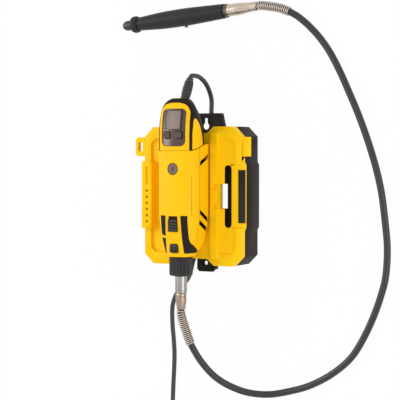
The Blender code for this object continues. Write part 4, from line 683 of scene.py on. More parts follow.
profile = [(CORE_BORE, 0), (RING_RADIUS - MM, 0)] + grooved(RING_RADIUS, MM, RING_LENGTH - MM, 1)
profile += [(RING_RADIUS - MM, RING_LENGTH), (CORE_BORE, RING_LENGTH)]
ring = lathe(profile, HANDPIECE_REAR - forward * GAP, -forward, bore=True)
ring = dress(ring, ring_nickel, "ferrule_ring", soft_edge=0.2 * MM)

sleeve_wide = RING_RADIUS - MM
profile = [(CORE_BORE, 0)] + grooved(sleeve_wide, 0, SLEEVE_LENGTH * 0.35, 2)
profile += [(sleeve_wide - 0.4 * MM, SLEEVE_LENGTH * 0.45),
            (SLEEVE_REAR_RADIUS + 0.4 * MM, SLEEVE_LENGTH * 0.66)]
profile += grooved(SLEEVE_REAR_RADIUS, SLEEVE_LENGTH * 0.75, SLEEVE_LENGTH, 2) + [(CORE_BORE, SLEEVE_LENGTH)]
sleeve = lathe(profile, HANDPIECE_REAR - forward * (RING_LENGTH + 2 * GAP), -forward, bore=True)
sleeve = dress(sleeve, far_nickel, "upper_ferrule", soft_edge=0.2 * MM)
guard_springs + [sleeve, ring]

# %% [markdown]
# ## The mains lead
# The lead leaves the top of the tool, bends over, runs down behind the holder and comes out at its foot. The
# rest of it lies just below the picture in a flat coil with a tie, as for storage. One curve carries the lead
# and the coil, because the real lead is one length of cable.

# %% Lead and coil
LEAD_RADIUS = 2.9 * MM
RELIEF_PITCH = math.radians(-28.2)
RELIEF_START = Vector((0, 118, 65.5)) * MM
RELIEF_LENGTH = 31.8 * MM
LEAD_ROUTE_MM = [
    (1.2, 149.5, 43.5), (3, 148.5, 34), (4.6, 142.5, 21.5), (5.2, 133, 11.5), (5.2, 121, 4.6), (4.2, 105, 3),
    (6, 92, 3), (9, 77, 3), (13, 45, 3), (14.5, 5, 3), (9, -35, 3), (-10, -60, 3), (-20.5, -77, 3),
    (-28, -101, 3), (-43, -119, 3), (-51, -137, 3), (-51.5, -160, 3), (-49.5, -182, 3), (-48.5, -200, 3),
    (-49.3, -223, 3), (-50.5, -245, 3), (-51, -268, 3.4), (-51, -292, 4), (-51, -312, 4.4),
]
COIL_RADIUS = 45 * MM
COIL_PITCH = 6.6 * MM
COIL_IN_TURNS = 3
COIL_OUT_TURNS = 2.75
COIL_DIP = 2 * MM
COIL_RISE = 6.6 * MM
COIL_TAIL = 36 * MM
PLUG_HALF_THICK = 7 * MM
COIL_POINTS = 48
TAIL_POINTS = 12

relief_axis = Vector((0, math.cos(RELIEF_PITCH), math.sin(RELIEF_PITCH)))
lead_start = RELIEF_START + relief_axis * (RELIEF_LENGTH + GAP)
lead_route = [lead_start, lead_start + relief_axis * END_STRAIGHT]
lead_route += [Vector(point) * MM for point in LEAD_ROUTE_MM]
coil_centre = lead_route[-1] + Vector((COIL_RADIUS, -GAP - 2 * LEAD_RADIUS, 0))
coil = []
for index in range(round((COIL_IN_TURNS + 0.5 + COIL_OUT_TURNS) * COIL_POINTS) + 1):
    turn = index / COIL_POINTS
    climb = min(max(2 * (turn - COIL_IN_TURNS), 0), 1)
    if turn < COIL_IN_TURNS:
        reach = COIL_RADIUS - turn * COIL_PITCH
    else:
        reach = COIL_RADIUS - COIL_IN_TURNS * COIL_PITCH - COIL_DIP * math.sin(math.pi * climb)
        reach += max(turn - COIL_IN_TURNS - 0.5, 0) * COIL_PITCH
    angle = math.pi + 2 * math.pi * turn
    rise = COIL_RISE * (1 - math.cos(math.pi * climb)) / 2
    coil.append(coil_centre + Vector((reach * math.cos(angle), reach * math.sin(angle), rise)))
coil_end = coil[-1]
tail_drop = coil_end.z - PLUG_HALF_THICK - GAP
for step in range(1, TAIL_POINTS + 1):
    share = step / TAIL_POINTS
    fall = tail_drop * (1 - math.cos(math.pi * share)) / 2
    coil.append(coil_end + Vector((COIL_TAIL * share, 0, -fall)))
lead_points = smooth_path(lead_route, PATH_STEP) + coil
lead = tube_along(lead_points, LEAD_RADIUS, lead_rubber, "mains_lead", "lead_coil", resolution=4)
print(f"lead {path_length(lead_points) / MM:.0f} mm long")

# %% [markdown]
# ## Tie, plug and pins
# A band holds the coil, and the lead ends in a flat two-pin plug. The plug's body starts from the packed
# solid, with finger grooves cut across both faces and its edges rounded. The pins are turned and have round
# tips.

# %% Tie, plug and pins
PLUG_GROOVES = 4
PLUG_GROOVE_START = 3 * MM
PLUG_GROOVE_PITCH = 4 * MM
PLUG_GROOVE_WIDTH = 1.6 * MM
PLUG_GROOVE_DEPTH = MM
PLUG_PIN_RADIUS = 2 * MM
PLUG_PIN_LENGTH = 19 * MM
PLUG_TIP_STEPS = 8

tie = soften("coil_tie", black_rubber, 0.35 * MM)
plug = copy_of("plug_body")
plug_low, plug_high = corners("plug_body")
for index in range(PLUG_GROOVES):
    groove_x = plug_low.x + PLUG_GROOVE_START + index * PLUG_GROOVE_PITCH
    for face_z in (plug_low.z, plug_high.z):
        across = (plug_low.y - MM, plug_high.y + MM)
        groove_z = (face_z - PLUG_GROOVE_DEPTH, face_z + PLUG_GROOVE_DEPTH)
        cut(plug, block((groove_x, groove_x + PLUG_GROOVE_WIDTH), across, groove_z))
plug = dress(plug, black_rubber, "plug_body", soft_edge=0.6 * MM, steps=3)
pins = []
for node in ("plug_pin_low", "plug_pin_high"):
    pin_low, pin_high = corners(node)
    root = Vector((pin_low.x, (pin_low.y + pin_high.y) / 2, (pin_low.z + pin_high.z) / 2))
    tip = PLUG_PIN_LENGTH - PLUG_PIN_RADIUS
    profile = [(0, 0), (PLUG_PIN_RADIUS, 0), (PLUG_PIN_RADIUS, tip)]
    for step in range(1, PLUG_TIP_STEPS + 1):
        angle = math.pi / 2 * step / PLUG_TIP_STEPS
        profile.append((PLUG_PIN_RADIUS * math.cos(angle), tip + PLUG_PIN_RADIUS * math.sin(angle)))
    pins.append(dress(lathe(profile, root, (1, 0, 0), 32), brass, node))
[plug, tie] + pins

# %% [markdown]
# ## The strain relief
# Where the lead leaves the tool, a ribbed rubber sleeve keeps it from bending sharply. It swells a little on
# the way and rounds off at its end. A spun profile gives it, with a rib at every few millimetres.

# %% Strain relief
RELIEF_SEAT = 3 * MM
RELIEF_BASE_RADIUS = 5.6 * MM
RELIEF_RIBS = 8
RELIEF_RIB_START = 7 * MM
RELIEF_RIB_PITCH = 2.9 * MM
RELIEF_RIB_DEPTH = 0.7 * MM
# The rounded end: radius, distance before the end
RELIEF_TIP_MM = [(4.6, 4), (4.3, 1.5), (3.6, 0)]

length = RELIEF_LENGTH + RELIEF_SEAT
profile = [(0, 0), (RELIEF_BASE_RADIUS, 0), (RELIEF_BASE_RADIUS, 2 * RELIEF_SEAT)]
for index in range(RELIEF_RIBS):
    start = RELIEF_RIB_START + index * RELIEF_RIB_PITCH
    share = index / (RELIEF_RIBS - 1)
    radius = (5.2 + 0.8 * math.sin(math.pi * min(share * 0.8 + 0.1, 1))) * MM
    profile += [(radius - RELIEF_RIB_DEPTH, start), (radius, start + 0.5 * MM), (radius, start + 1.9 * MM),
                (radius - RELIEF_RIB_DEPTH, start + 2.3 * MM)]
profile += [(radius * MM, length - before * MM) for radius, before in RELIEF_TIP_MM] + [(0, length)]
relief = lathe(profile, RELIEF_START - relief_axis * RELIEF_SEAT, relief_axis, 48)
dress(relief, lead_rubber, "strain_relief", soft_edge=0.2 * MM)
print(f"strain relief with {RELIEF_RIBS} ribs")

# %% [markdown]
# ## The holder
# The holder is a deep black shell behind and a yellow tray in front, joined by four screws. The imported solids
# already have their shapes, so each piece is a merged copy of its solid with rounded edges: a moulded part
# never has a knife edge, and it is the thin bright line along an edge that makes it look moulded.

# %% Shell, tray, plate and screws
# The wing beside the hand slot is a thin plate, hollow underneath
UNDER_WING_X = (36.8 * MM, 47.75 * MM)
UNDER_WING_Y = 37 * MM
UNDER_WING_Z = 41.7 * MM
SCREW_SLOT_HALF = (2 * MM, 0.35 * MM)
SCREW_SLOT_DEPTH = 1.2 * MM

soften("wall_shell", black_plastic, 0.6 * MM)
tray = copy_of("front_tray")
cut(tray, block(UNDER_WING_X, (-UNDER_WING_Y, UNDER_WING_Y), (0, UNDER_WING_Z)))
dress(tray, tray_plastic_painted_light, "front_tray", soft_edge=0.5 * MM)
soften("label_plate", plate_plastic, 0.25 * MM)
for index in range(1, 5):
    node = f"tray_screw_{index}"
    low, high = corners(node)
    middle = (low + high) / 2
    screw = copy_of(node)
    for half_x, half_y in (SCREW_SLOT_HALF, SCREW_SLOT_HALF[::-1]):
        cut(screw, block((middle.x - half_x, middle.x + half_x), (middle.y - half_y, middle.y + half_y),
                         (low.z - MM, low.z + SCREW_SLOT_DEPTH)))
    dress(screw, steel, node)
print("holder made")

# %% [markdown]
# ## The tool's housing
# The body is a squared oval that swells from the round nose, flat behind and rounder in front. A loft makes
# it: circles are moved onto the ovals at many heights and bridged. Between the few measured heights a smooth
# curve gives the rest, so the swelling shows no bands.

# %% Smooth curves between measured rows
LOFT_POINTS = 96
BODY_HALF_WIDTH = 25.5 * MM
BODY_FRONT = 21.3 * MM
BODY_REAR = 28.5 * MM
FRONT_POWER = 2.8
REAR_POWER = 8
BODY_WALL = 2.6 * MM
NOSE_Y = -69 * MM
NOSE_RADIUS = 15.5 * MM
STATION_STEP = 3 * MM
STATION_COUNT = 22
FRONT_TOP_Y = 58 * MM
REAR_TOP_Y = 66 * MM
FRONT_Z = AXIS_Z + BODY_FRONT
# Growth of the body from its nose: reach, share of the full width and front, share of the full rear
TAPER = [(0, 0, 0), (5 * MM, 0.17, 0.09), (9 * MM, 0.29, 0.57), (13 * MM, 0.38, 0.83), (24 * MM, 0.64, 0.96),
         (43 * MM, 0.93, 1), (61 * MM, 1, 1)]


def eased(rows, at):
    """Values at one station, on a smooth curve through rows that start with their station."""
    at = min(max(at, rows[0][0]), rows[-1][0])
    index = max(number for number in range(len(rows) - 1) if rows[number][0] <= at)
    low, high = rows[index], rows[index + 1]
    before, after = rows[max(index - 1, 0)], rows[min(index + 2, len(rows) - 1)]
    run = high[0] - low[0]
    t = (at - low[0]) / run
    values = []
    for start, end, early, late in zip(low[1:], high[1:], before[1:], after[1:]):
        slope_in = (end - early) / (high[0] - before[0]) * run
        slope_out = (late - start) / (after[0] - low[0]) * run
        values.append(hermite(start, end, slope_in, slope_out, t))
    return values


print("body is", round(2 * BODY_HALF_WIDTH / MM), "mm wide")


# %% Lofts
def lofted(rings, points=LOFT_POINTS):
    """A closed solid over rings; each ring moves a point of the unit circle to its place."""
    bm = bmesh.new()
    loops = []
    for place in rings:
        circle = bmesh.ops.create_circle(bm, cap_ends=False, radius=1, segments=points)["verts"]
        for vert in circle:
            vert.co = place(*(0 if abs(value) < 0.00001 else value for value in vert.co.xy))
        loops.append(list({edge for vert in circle for edge in vert.link_edges}))
    for lower, upper in zip(loops, loops[1:]):
        bmesh.ops.bridge_loops(bm, edges=lower + upper)
    for loop in (loops[0], loops[-1]):
        bmesh.ops.edgeloop_fill(bm, edges=loop)
    bmesh.ops.recalc_face_normals(bm, faces=bm.faces)
    return as_object(bm)


def squared(value, power):
    return math.copysign(abs(value) ** (2 / power), value)


def oval(y, half_width, front, rear, inset=0.0, rear_power=FRONT_POWER, lift=0.0):
    """A ring of the tool: a squared oval whose front and rear halves differ."""
    def place(across, out):
        depth, power = (front, FRONT_POWER) if out > 0 else (rear, rear_power)
        return Vector((squared(across, power) * (half_width - inset), y,
                       AXIS_Z + lift + squared(out, power) * (depth - inset)))
    return place


def body_size(y):
    """Half width, front depth and rear depth of the body at one height."""
    front_share, rear_share = eased(TAPER, y - NOSE_Y)
    growth = [(front_share, BODY_HALF_WIDTH), (front_share, BODY_FRONT), (rear_share, BODY_REAR)]
    return [NOSE_RADIUS + share * (full - NOSE_RADIUS) for share, full in growth]


def body_loft(low, high, inset=0.0):
    stations = [NOSE_Y + STATION_STEP * step for step in range(STATION_COUNT)]
    rings = []
    for y in [low] + [station for station in stations if low + MM < station < high - MM] + [high]:
        rear_power = FRONT_POWER + eased(TAPER, y - NOSE_Y)[1] * (REAR_POWER - FRONT_POWER)
        rings.append(oval(y, *body_size(y), inset, rear_power))
    return lofted(rings)


def body_layer(inset):
    return body_loft(NOSE_Y - min(inset, 0), FRONT_TOP_Y + min(inset, 0), inset)


print("loft tools ready")

# %% [markdown]
# The cap is a second loft that closes the top. Its middle rises and narrows towards the lead. Inlays, the
# display's ring and the grips lie flush in it and in the body: each is the layer between two depths of the
# loft, cut to an outline, and the housing gets a pocket a little larger.

# %% The cap's loft, layers and the seam
CAP_LOW_Y = FRONT_TOP_Y + GAP
CAP_TOP_Y = 121 * MM
SEAM_FRONT = 14 * MM
SEAM_REAR = 16 * MM
# Rings of the cap: share of its length, width, lift of its middle, front, rear, rear power
CAP_SHAPE = [
    (0, 1, 0, 1, 0.93, 3.0), (0.44, 0.985, 0.04, 0.97, 0.88, 2.6), (0.62, 0.94, 0.08, 0.91, 0.80, 2.2),
    (0.72, 0.89, 0.13, 0.85, 0.76, 1.9), (0.82, 0.82, 0.19, 0.78, 0.70, 1.6),
    (0.90, 0.70, 0.21, 0.68, 0.67, 1.6), (0.96, 0.54, 0.21, 0.56, 0.64, 1.7),
    (1, 0.33, 0.21, 0.42, 0.60, 1.8),
]
CAP_STATIONS = [0, 0.1, 0.2, 0.3, 0.38, 0.44, 0.5, 0.56, 0.62, 0.67, 0.72, 0.77, 0.82, 0.86, 0.9, 0.93, 0.96,
                0.98, 1]


def cap_loft(inset=0.0, last=1.0, low=CAP_LOW_Y):
    rings = []
    for share in CAP_STATIONS:
        if share <= last:
            width, lift, front, rear, power = eased(CAP_SHAPE, share)
            y = low if share == 0 else CAP_LOW_Y + share * (CAP_TOP_Y - CAP_LOW_Y)
            rise = BODY_FRONT * lift
            depths = (BODY_FRONT * front - rise, BODY_REAR * rear + rise)
            rings.append(oval(y, BODY_HALF_WIDTH * width, *depths, inset, power, rise))
    return lofted(rings)


def seam_side(y_end, shift=0.0):
    """All that lies on one side of the slanted seam between the housing and the cap."""
    far = 4 * BODY_REAR
    seam = [(FRONT_TOP_Y + shift, AXIS_Z + far), (FRONT_TOP_Y + shift, AXIS_Z + SEAM_FRONT),
            (REAR_TOP_Y + shift, AXIS_Z - SEAM_REAR), (REAR_TOP_Y + shift, AXIS_Z - far)]
    return prism(seam + [(y_end, AXIS_Z - far), (y_end, AXIS_Z + far)], -far, far, SIDEWAYS)


def seam_y(out):
    """Height of the seam at a distance in front of the tool's axis."""
    share = (SEAM_FRONT - out) / (SEAM_FRONT + SEAM_REAR)
    return FRONT_TOP_Y + min(max(share, 0), 1) * (REAR_TOP_Y - FRONT_TOP_Y)


def layer(loft, outline_solid, outer, inner):
    """The part of a loft between two depths and inside an outline."""
    piece = loft(outer)
    cut(piece, loft(inner))
    return cut(piece, outline_solid, "INTERSECT")


def grown(outline, distance):
    """Move every edge of a closed outline outwards by a distance."""
    points = [Vector(point) for point in outline]
    area = sum(start.cross(end) for start, end in zip(points, points[1:] + points[:1]))
    turn = math.copysign(1, area)
    normals = []
    for start, end in zip(points, points[1:] + points[:1]):
        heading = (end - start).normalized()
        normals.append(Vector((heading.y, -heading.x)) * turn)
    moved = []
    for point, before, after in zip(points, normals[-1:] + normals, normals):
        moved.append(point + (before + after) * distance / (1 + before.dot(after)))
    return moved


print("cap runs from", round(CAP_LOW_Y / MM, 1), "to", round(CAP_TOP_Y / MM, 1), "mm")

# %% [markdown]
# ## The grips
# Two rubber grips flank the switch. Each starts narrow, follows the swelling of the body and runs out in a
# tail round its side. On the left one a yellow band of the housing crosses the rubber. An outline drawn from
# the front gives the shape, and the layer of the body inside it gives the grip.

# %% Grips
GRIP_DEPTH = 1.6 * MM
GRIP_BACK = AXIS_Z - 10 * MM
GRIP_MM = [(10.3, -19.5), (17.8, -19.5), (17.8, -46), (18.2, -51), (19.2, -55.3), (21, -58.3), (24, -60.3),
           (32, -61.8), (32, -62.6), (24, -63.6), (18, -64.4), (12, -64.4), (11.2, -45)]
BAND_MM = [(-32, -37.5), (-5, -45.5), (-5, -48.5), (-32, -42.5)]
# Seen from the side, what is cut away so that the tail runs out: height, distance in front of the axis
TAIL_MM = [(-44, 4), (-55.5, 4), (-63.4, -12), (-44, -12)]


def grip_solid(side, grow):
    """A grip's outline as a solid; the left grip leaves out the band across it."""
    points = [(x * MM, y * MM) for x, y in GRIP_MM]
    solid = prism([(side * x, y) for x, y in grown(points, grow)], GRIP_BACK - grow, 2 * FRONT_Z)
    tail = [(along * MM, AXIS_Z + out * MM) for along, out in TAIL_MM]
    cut(solid, prism(grown(tail, -grow), -FRONT_Z, FRONT_Z, SIDEWAYS))
    if side < 0:
        band = [(x * MM, y * MM) for x, y in BAND_MM]
        cut(solid, prism(grown(band, -grow), 0, 3 * FRONT_Z))
    return solid


for side, node in [(-1, "grip_left"), (1, "grip_right")]:
    grip = layer(body_layer, grip_solid(side, 0), 0.0, GRIP_DEPTH)
    dress(grip, black_rubber, node, soft_edge=0.25 * MM, sharp=40)
print("grips made")

# %% [markdown]
# ## The two halves of the housing
# Both halves come from the same loft: the seam with the cap is cut, then the other half, then the chambers
# for the motor and the bearings. The front half gets its openings for the brush cap, the switch and the lock
# button, and the rear half its slanted vents. The inside of the rear half is painted black as painted shade,
# so that it looks dark from outside.

# %% Chambers that both halves share
BRUSH_Y = 36.5 * MM
BRUSH_CAP_RADIUS = 6.6 * MM
REAR_BEARING = (48.5 * MM, 55.5 * MM, 8 * MM)
FRONT_BEARING = (-46.5 * MM, -37.5 * MM, 10.5 * MM)
SHAFT_RADIUS = 3 * MM
COLLAR_RADIUS = 9.2 * MM
COLLAR_SEAT = 5 * MM


def housing_half(front):
    """One half of the housing, hollow, with its pockets for the grips."""
    half = body_loft(NOSE_Y, REAR_TOP_Y)
    cut(half, seam_side(2 * CAP_TOP_Y))
    wide = 2 * BODY_HALF_WIDTH
    far_side = (AXIS_Z - wide, AXIS_Z + GAP / 2) if front else (AXIS_Z - GAP / 2, AXIS_Z + wide)
    cut(half, block((-wide, wide), (-1, 1), far_side))
    cut(half, body_loft(FRONT_BEARING[1], REAR_BEARING[0], BODY_WALL))
    cut(half, body_loft(REAR_BEARING[1], REAR_TOP_Y + BODY_WALL, BODY_WALL))
    collar_end = NOSE_Y + COLLAR_SEAT + GAP
    bores = [(COLLAR_RADIUS + GAP, NOSE_Y - MM, collar_end),
             (SHAFT_RADIUS + MM, collar_end, FRONT_BEARING[0] - GAP),
             (FRONT_BEARING[2] + GAP, FRONT_BEARING[0] - GAP, FRONT_BEARING[1] + MM)]
    steps = [(radius, y) for radius, low, high in bores for y in (low, high)]
    cut(half, lathe([(0, steps[0][1])] + steps + [(0, steps[-1][1])], (0, 0, AXIS_Z), UP, 32))
    seat = REAR_BEARING[1] - REAR_BEARING[0] + 2 * MM
    cut(half, rod(REAR_BEARING[2] + GAP, (0, REAR_BEARING[0] - MM, AXIS_Z), UP, seat, 32))
    for side in (-1, 1):
        cut(half, layer(body_layer, grip_solid(side, GAP), -GRIP_DEPTH, GRIP_DEPTH + GAP))
    return half


print("bearing seats at", REAR_BEARING[0], "and", FRONT_BEARING[0])

# %% Front half
SWITCH_Y = -31.2 * MM
SWITCH_HALF = Vector((6, 7)) * MM
SWITCH_TRAVEL = 4 * MM
SWITCH_POCKET = 3.9 * MM
LOCK_Y = -58.5 * MM
LOCK_HALF = 5.25 * MM
LOCK_STEM_RADIUS = 2 * MM
LOCK_POCKET = 5.8 * MM
LOCK_ROUND = 2 * MM
LINE_X = 21.7 * MM
LINE_Y = (-20 * MM, 27.5 * MM)
LINE_WIDTH = 0.5 * MM
LINE_DEPTH = 0.6 * MM

front_half = housing_half(True)
cut(front_half, rod(BRUSH_CAP_RADIUS + 2 * GAP, (0, BRUSH_Y, AXIS_Z + BODY_FRONT / 2), OUT, BODY_FRONT))
pocket = (SWITCH_Y - SWITCH_HALF.y - GAP, SWITCH_Y + SWITCH_HALF.y + SWITCH_TRAVEL + GAP)
switch_front = AXIS_Z + body_size(SWITCH_Y)[1]
across = (-SWITCH_HALF.x - GAP, SWITCH_HALF.x + GAP)
cut(front_half, block(across, pocket, (switch_front - SWITCH_POCKET, 2 * FRONT_Z)))
lock_front = AXIS_Z + body_size(LOCK_Y)[1]
lock_pocket = rounded(LOCK_HALF + GAP, LOCK_HALF + GAP, LOCK_ROUND, (0, LOCK_Y))
cut(front_half, prism(lock_pocket, lock_front - LOCK_POCKET, 2 * FRONT_Z))
cut(front_half, rod(LOCK_STEM_RADIUS + GAP, (0, LOCK_Y, AXIS_Z), OUT, BODY_FRONT, 32))
for side in (-1, 1):
    line_x = sorted((side * LINE_X, side * (LINE_X + LINE_WIDTH)))
    line = block(line_x, LINE_Y, (AXIS_Z, 2 * FRONT_Z))
    cut(front_half, layer(body_layer, line, -MM, LINE_DEPTH))
dress(front_half, yellow_plastic, "front_housing", soft_edge=0.2 * MM, sharp=38)
print("front half has", len(front_half.data.polygons), "faces")

# %% Rear half
VENT_WIDTH = 5.6 * MM
VENT_WALL = 1.1 * MM
VENT_RELIEF = 3 * MM
VENT_HIGH = AXIS_Z - MM
VENT_LOW = AXIS_Z - 24 * MM
INSIDE_SHARE = 0.9
VENTS_MM = [(39.5, 50), (-17.5, -29.5), (-30, -41)]

rear_half = housing_half(False)
cut(rear_half, rod(BRUSH_CAP_RADIUS + GAP, (0, BRUSH_Y, AXIS_Z - BODY_REAR / 2), -OUT, BODY_REAR))
inner = BODY_HALF_WIDTH - 3 * BODY_WALL
for top, foot in VENTS_MM:
    outline = [(top * MM, VENT_HIGH), (top * MM + VENT_WIDTH, VENT_HIGH), (foot * MM + VENT_WIDTH, VENT_LOW),
               (foot * MM, VENT_LOW)]
    for reach in [(inner, 2 * BODY_HALF_WIDTH), (-2 * BODY_HALF_WIDTH, -inner)]:
        thinned = prism(grown(outline, VENT_RELIEF), *reach, SIDEWAYS)
        cut(thinned, block((-1, 1), (-1, 1), (VENT_HIGH, 1)))
        cut(thinned, body_loft(NOSE_Y, REAR_TOP_Y, VENT_WALL), "INTERSECT")
        cut(rear_half, thinned)
        cut(rear_half, prism(outline, *reach, SIDEWAYS))
rear_half = dress(rear_half, yellow_plastic, "rear_housing", soft_edge=0.2 * MM, sharp=38)
# A second slot of black plastic paints shade on the faces inside the rear half, which is yellow plastic
# throughout.
rear_half.data.materials.append(black_plastic.material)


def in_painted_shade(point):
    """Whether a point of the rear half lies deeper than the thin wall round the vents."""
    half_width, _, rear = body_size(point.y)
    across = abs(point.x) / (half_width - VENT_WALL * INSIDE_SHARE)
    back = max(AXIS_Z - point.z, 0) / (rear - VENT_WALL * INSIDE_SHARE)
    return across ** REAR_POWER + back ** REAR_POWER < 1 and FRONT_BEARING[1] < point.y < REAR_BEARING[0]


# Faces deeper than the vents' wall get the black slot: painted shade seen through the vents.
for face in rear_half.data.polygons:
    face.material_index = int(in_painted_shade(face.center))
print("rear half has", len(rear_half.data.polygons), "faces")

# %% [markdown]
# ## The cap and its display
# The black cap carries the display: a yellow ring, a dark window set a little deeper, the screen behind it
# and two keys. A yellow leaf is let into each side. The window and the screen are layers of the cap's loft,
# so they share its slight curve.

# %% Outlines on the cap
SCREEN_FRAME_HALF = 20 * MM
SCREEN_FRAME_TOP = 115.5 * MM
SCREEN_FRAME_WALL = 3 * MM
SCREEN_FRAME_ARCH = SCREEN_FRAME_HALF * 0.9
SCREEN_FRAME_BACK = AXIS_Z + BODY_FRONT * 0.45
ARCH_STEPS = 40
WINDOW_HALF_WIDTH = 15.6 * MM
WINDOW_Y = (63.8 * MM, 108 * MM)
WINDOW_CORNER = 6.2 * MM
WINDOW_SINK = 0.8 * MM
WINDOW_THICK = 2.6 * MM
LCD_HALF_WIDTH = 11.4 * MM
LCD_Y = (84 * MM, 106 * MM)
LCD_THICK = 2 * MM
KEY_HALF = 4 * MM
KEY_ROUND = 1.4 * MM
KEY_X = 8 * MM
KEY_Y = 77 * MM
BOARD_BACK = FRONT_Z - 11.2 * MM
INLAY_DEPTH = 1.8 * MM
# The leaf seen from the side, from its rear up and round to its front: height, distance in front of the axis.
# Its two lower corners lie a little above the seam.
LEAF_FRONT_MM = 13.3
LEAF_REAR_MM = -9
LEAF_ABOVE_SEAM_MM = 0.9
LEAF_MM = [(75, -7.5), (80, -5.7), (85, -3.5), (88, -1.8), (92, 1), (95, 4), (96.6, 6.4), (96.8, 8.2),
           (95.6, 9.6), (93, 10.7), (90, 11.4), (85, 12.2), (80, 12.8), (74, 13.1)]


def ring_outline(grow=0.0):
    """The arched outline of the display's ring, as a solid."""
    half = SCREEN_FRAME_HALF + grow
    spring = SCREEN_FRAME_TOP - SCREEN_FRAME_ARCH
    rise = SCREEN_FRAME_TOP + grow - spring
    arch = []
    for step in range(ARCH_STEPS + 1):
        angle = math.pi * step / ARCH_STEPS
        up = squared(math.sin(angle), FRONT_POWER) if 0 < step < ARCH_STEPS else 0
        arch.append((half * squared(math.cos(angle), FRONT_POWER), spring + rise * up))
    low = CAP_LOW_Y - MM
    return prism([(-half, low), (half, low)] + arch, SCREEN_FRAME_BACK - grow, AXIS_Z + 2 * BODY_FRONT)


def between(half_width, span, radius, grow=0.0):
    """A rounded outline of a half width over a span of heights."""
    return rounded(half_width + grow, (span[1] - span[0]) / 2 + grow, radius, (0, sum(span) / 2))


def key_outline(side, grow=0.0):
    return rounded(KEY_HALF + grow, KEY_HALF + grow, KEY_ROUND, (side * KEY_X, KEY_Y))


def leaf_solid(side, grow=0.0):
    """The leaf let into one side of the cap, as a solid."""
    foot = [(seam_y(out * MM) / MM + LEAF_ABOVE_SEAM_MM, out) for out in (LEAF_FRONT_MM, LEAF_REAR_MM)]
    outline = grown([(along * MM, out * MM) for along, out in foot + LEAF_MM], grow)
    reach = sorted((side * BODY_HALF_WIDTH / 2, side * 2 * BODY_HALF_WIDTH))
    return prism([(along, AXIS_Z + out) for along, out in outline], *reach, SIDEWAYS)


print("window is", round(2 * WINDOW_HALF_WIDTH / MM, 1), "mm wide")

# %% The cap, its leaves and the display's ring
cap = cap_loft()
cut(cap, seam_side(0, GAP))
cut(cap, cap_loft(BODY_WALL, 0.75, CAP_LOW_Y - BODY_WALL))
cut(cap, layer(cap_loft, ring_outline(GAP), -SCREEN_FRAME_WALL, SCREEN_FRAME_WALL + GAP))
cut(cap, prism(between(WINDOW_HALF_WIDTH, WINDOW_Y, WINDOW_CORNER, GAP), BOARD_BACK - GAP, 2 * FRONT_Z))
for side in (-1, 1):
    cut(cap, layer(cap_loft, leaf_solid(side, GAP), -INLAY_DEPTH, INLAY_DEPTH + GAP))
relief_foot = RELIEF_START - relief_axis * (RELIEF_SEAT + GAP)
cut(cap, rod(RELIEF_BASE_RADIUS + GAP, relief_foot, relief_axis, RELIEF_LENGTH, 32))
dress(cap, black_plastic, "rear_cap", soft_edge=0.25 * MM, sharp=38)

for side, node in [(-1, "side_inlay_left"), (1, "side_inlay_right")]:
    leaf = layer(cap_loft, leaf_solid(side), 0.0, INLAY_DEPTH)
    dress(leaf, yellow_plastic, node, soft_edge=0.25 * MM, sharp=38)
display_ring = layer(cap_loft, ring_outline(), 0.0, SCREEN_FRAME_WALL)
cut(display_ring, seam_side(0, GAP))
cut(display_ring, prism(between(WINDOW_HALF_WIDTH, WINDOW_Y, WINDOW_CORNER, GAP), AXIS_Z, 2 * FRONT_Z))
dress(display_ring, yellow_plastic, "display_frame", soft_edge=0.35 * MM, sharp=38)
print("cap has", len(cap.data.polygons), "faces")

# %% Window and screen
LCD_SINK = WINDOW_SINK + 2 * GAP
KEY_GROOVE = 0.6 * MM

window_solid = prism(between(WINDOW_HALF_WIDTH, WINDOW_Y, WINDOW_CORNER), AXIS_Z, 2 * FRONT_Z)
window = layer(cap_loft, window_solid, WINDOW_SINK, WINDOW_SINK + WINDOW_THICK)
cut(window, prism(between(LCD_HALF_WIDTH, LCD_Y, MM, GAP), 0, 2 * FRONT_Z))
for side in (-1, 1):
    cut(window, prism(key_outline(side, KEY_GROOVE), 0, 2 * FRONT_Z))
dress(window, window_gloss, "display_window", soft_edge=0.2 * MM, sharp=38)
lcd_solid = prism(between(LCD_HALF_WIDTH, LCD_Y, MM), AXIS_Z, 2 * FRONT_Z)
lcd = layer(cap_loft, lcd_solid, LCD_SINK, LCD_SINK + LCD_THICK)
dress(lcd, screen, "lcd_panel", soft_edge=0.15 * MM, sharp=38)
print("window and screen made")

# %% [markdown]
# The keys are squares of the window's own dark plastic. A groove round each, where the window's hole is a
# little larger, draws its outline. The right key has a small pale dot, a low disc on its front face.

# %% Keys
KEY_TRAVEL = 0.8 * MM
KEY_FOOT = 9.6 * MM
DOT_RADIUS = 0.7 * MM
DOT_HEIGHT = 0.2 * MM

key_front = FRONT_Z - WINDOW_SINK + KEY_TRAVEL + GAP
key_back = FRONT_Z - KEY_FOOT + KEY_TRAVEL + GAP
for side, node in [(-1, "key_left"), (1, "key_right")]:
    shape = prism(key_outline(side), key_back, key_front)
    if side > 0:
        cut(shape, rod(DOT_RADIUS, (KEY_X, KEY_Y, key_front - DOT_HEIGHT), OUT, 2 * DOT_HEIGHT, 24), "UNION")
    key = dress(shape, window_gloss, node, soft_edge=0.15 * MM)
    key.data.materials.append(key_print.material)
    for face in key.data.polygons:
        face.material_index = int(face.center.z > key_front + DOT_HEIGHT / 4)
print("keys made")

# %% [markdown]
# ## Switch, lock button and brush caps
# The slide switch has grooves for the thumb and runs on a black track. The lock button is a square with round
# corners. Each brush cap is a screw plug with a slot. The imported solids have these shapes, so they get their
# soft edges; the caps are spun again because their rim shows.

# %% Controls
BRUSH_RIM_ROUND = 0.5 * MM
BRUSH_RIM_WIDTH = 1.3 * MM
BRUSH_DISH_INSET = 1.6 * MM
BRUSH_DISH_DEPTH = 0.4 * MM
BRUSH_SLOT_HALF = (1.1 * MM, 2.4 * MM)
BRUSH_SLOT_DEPTH = 2.2 * MM

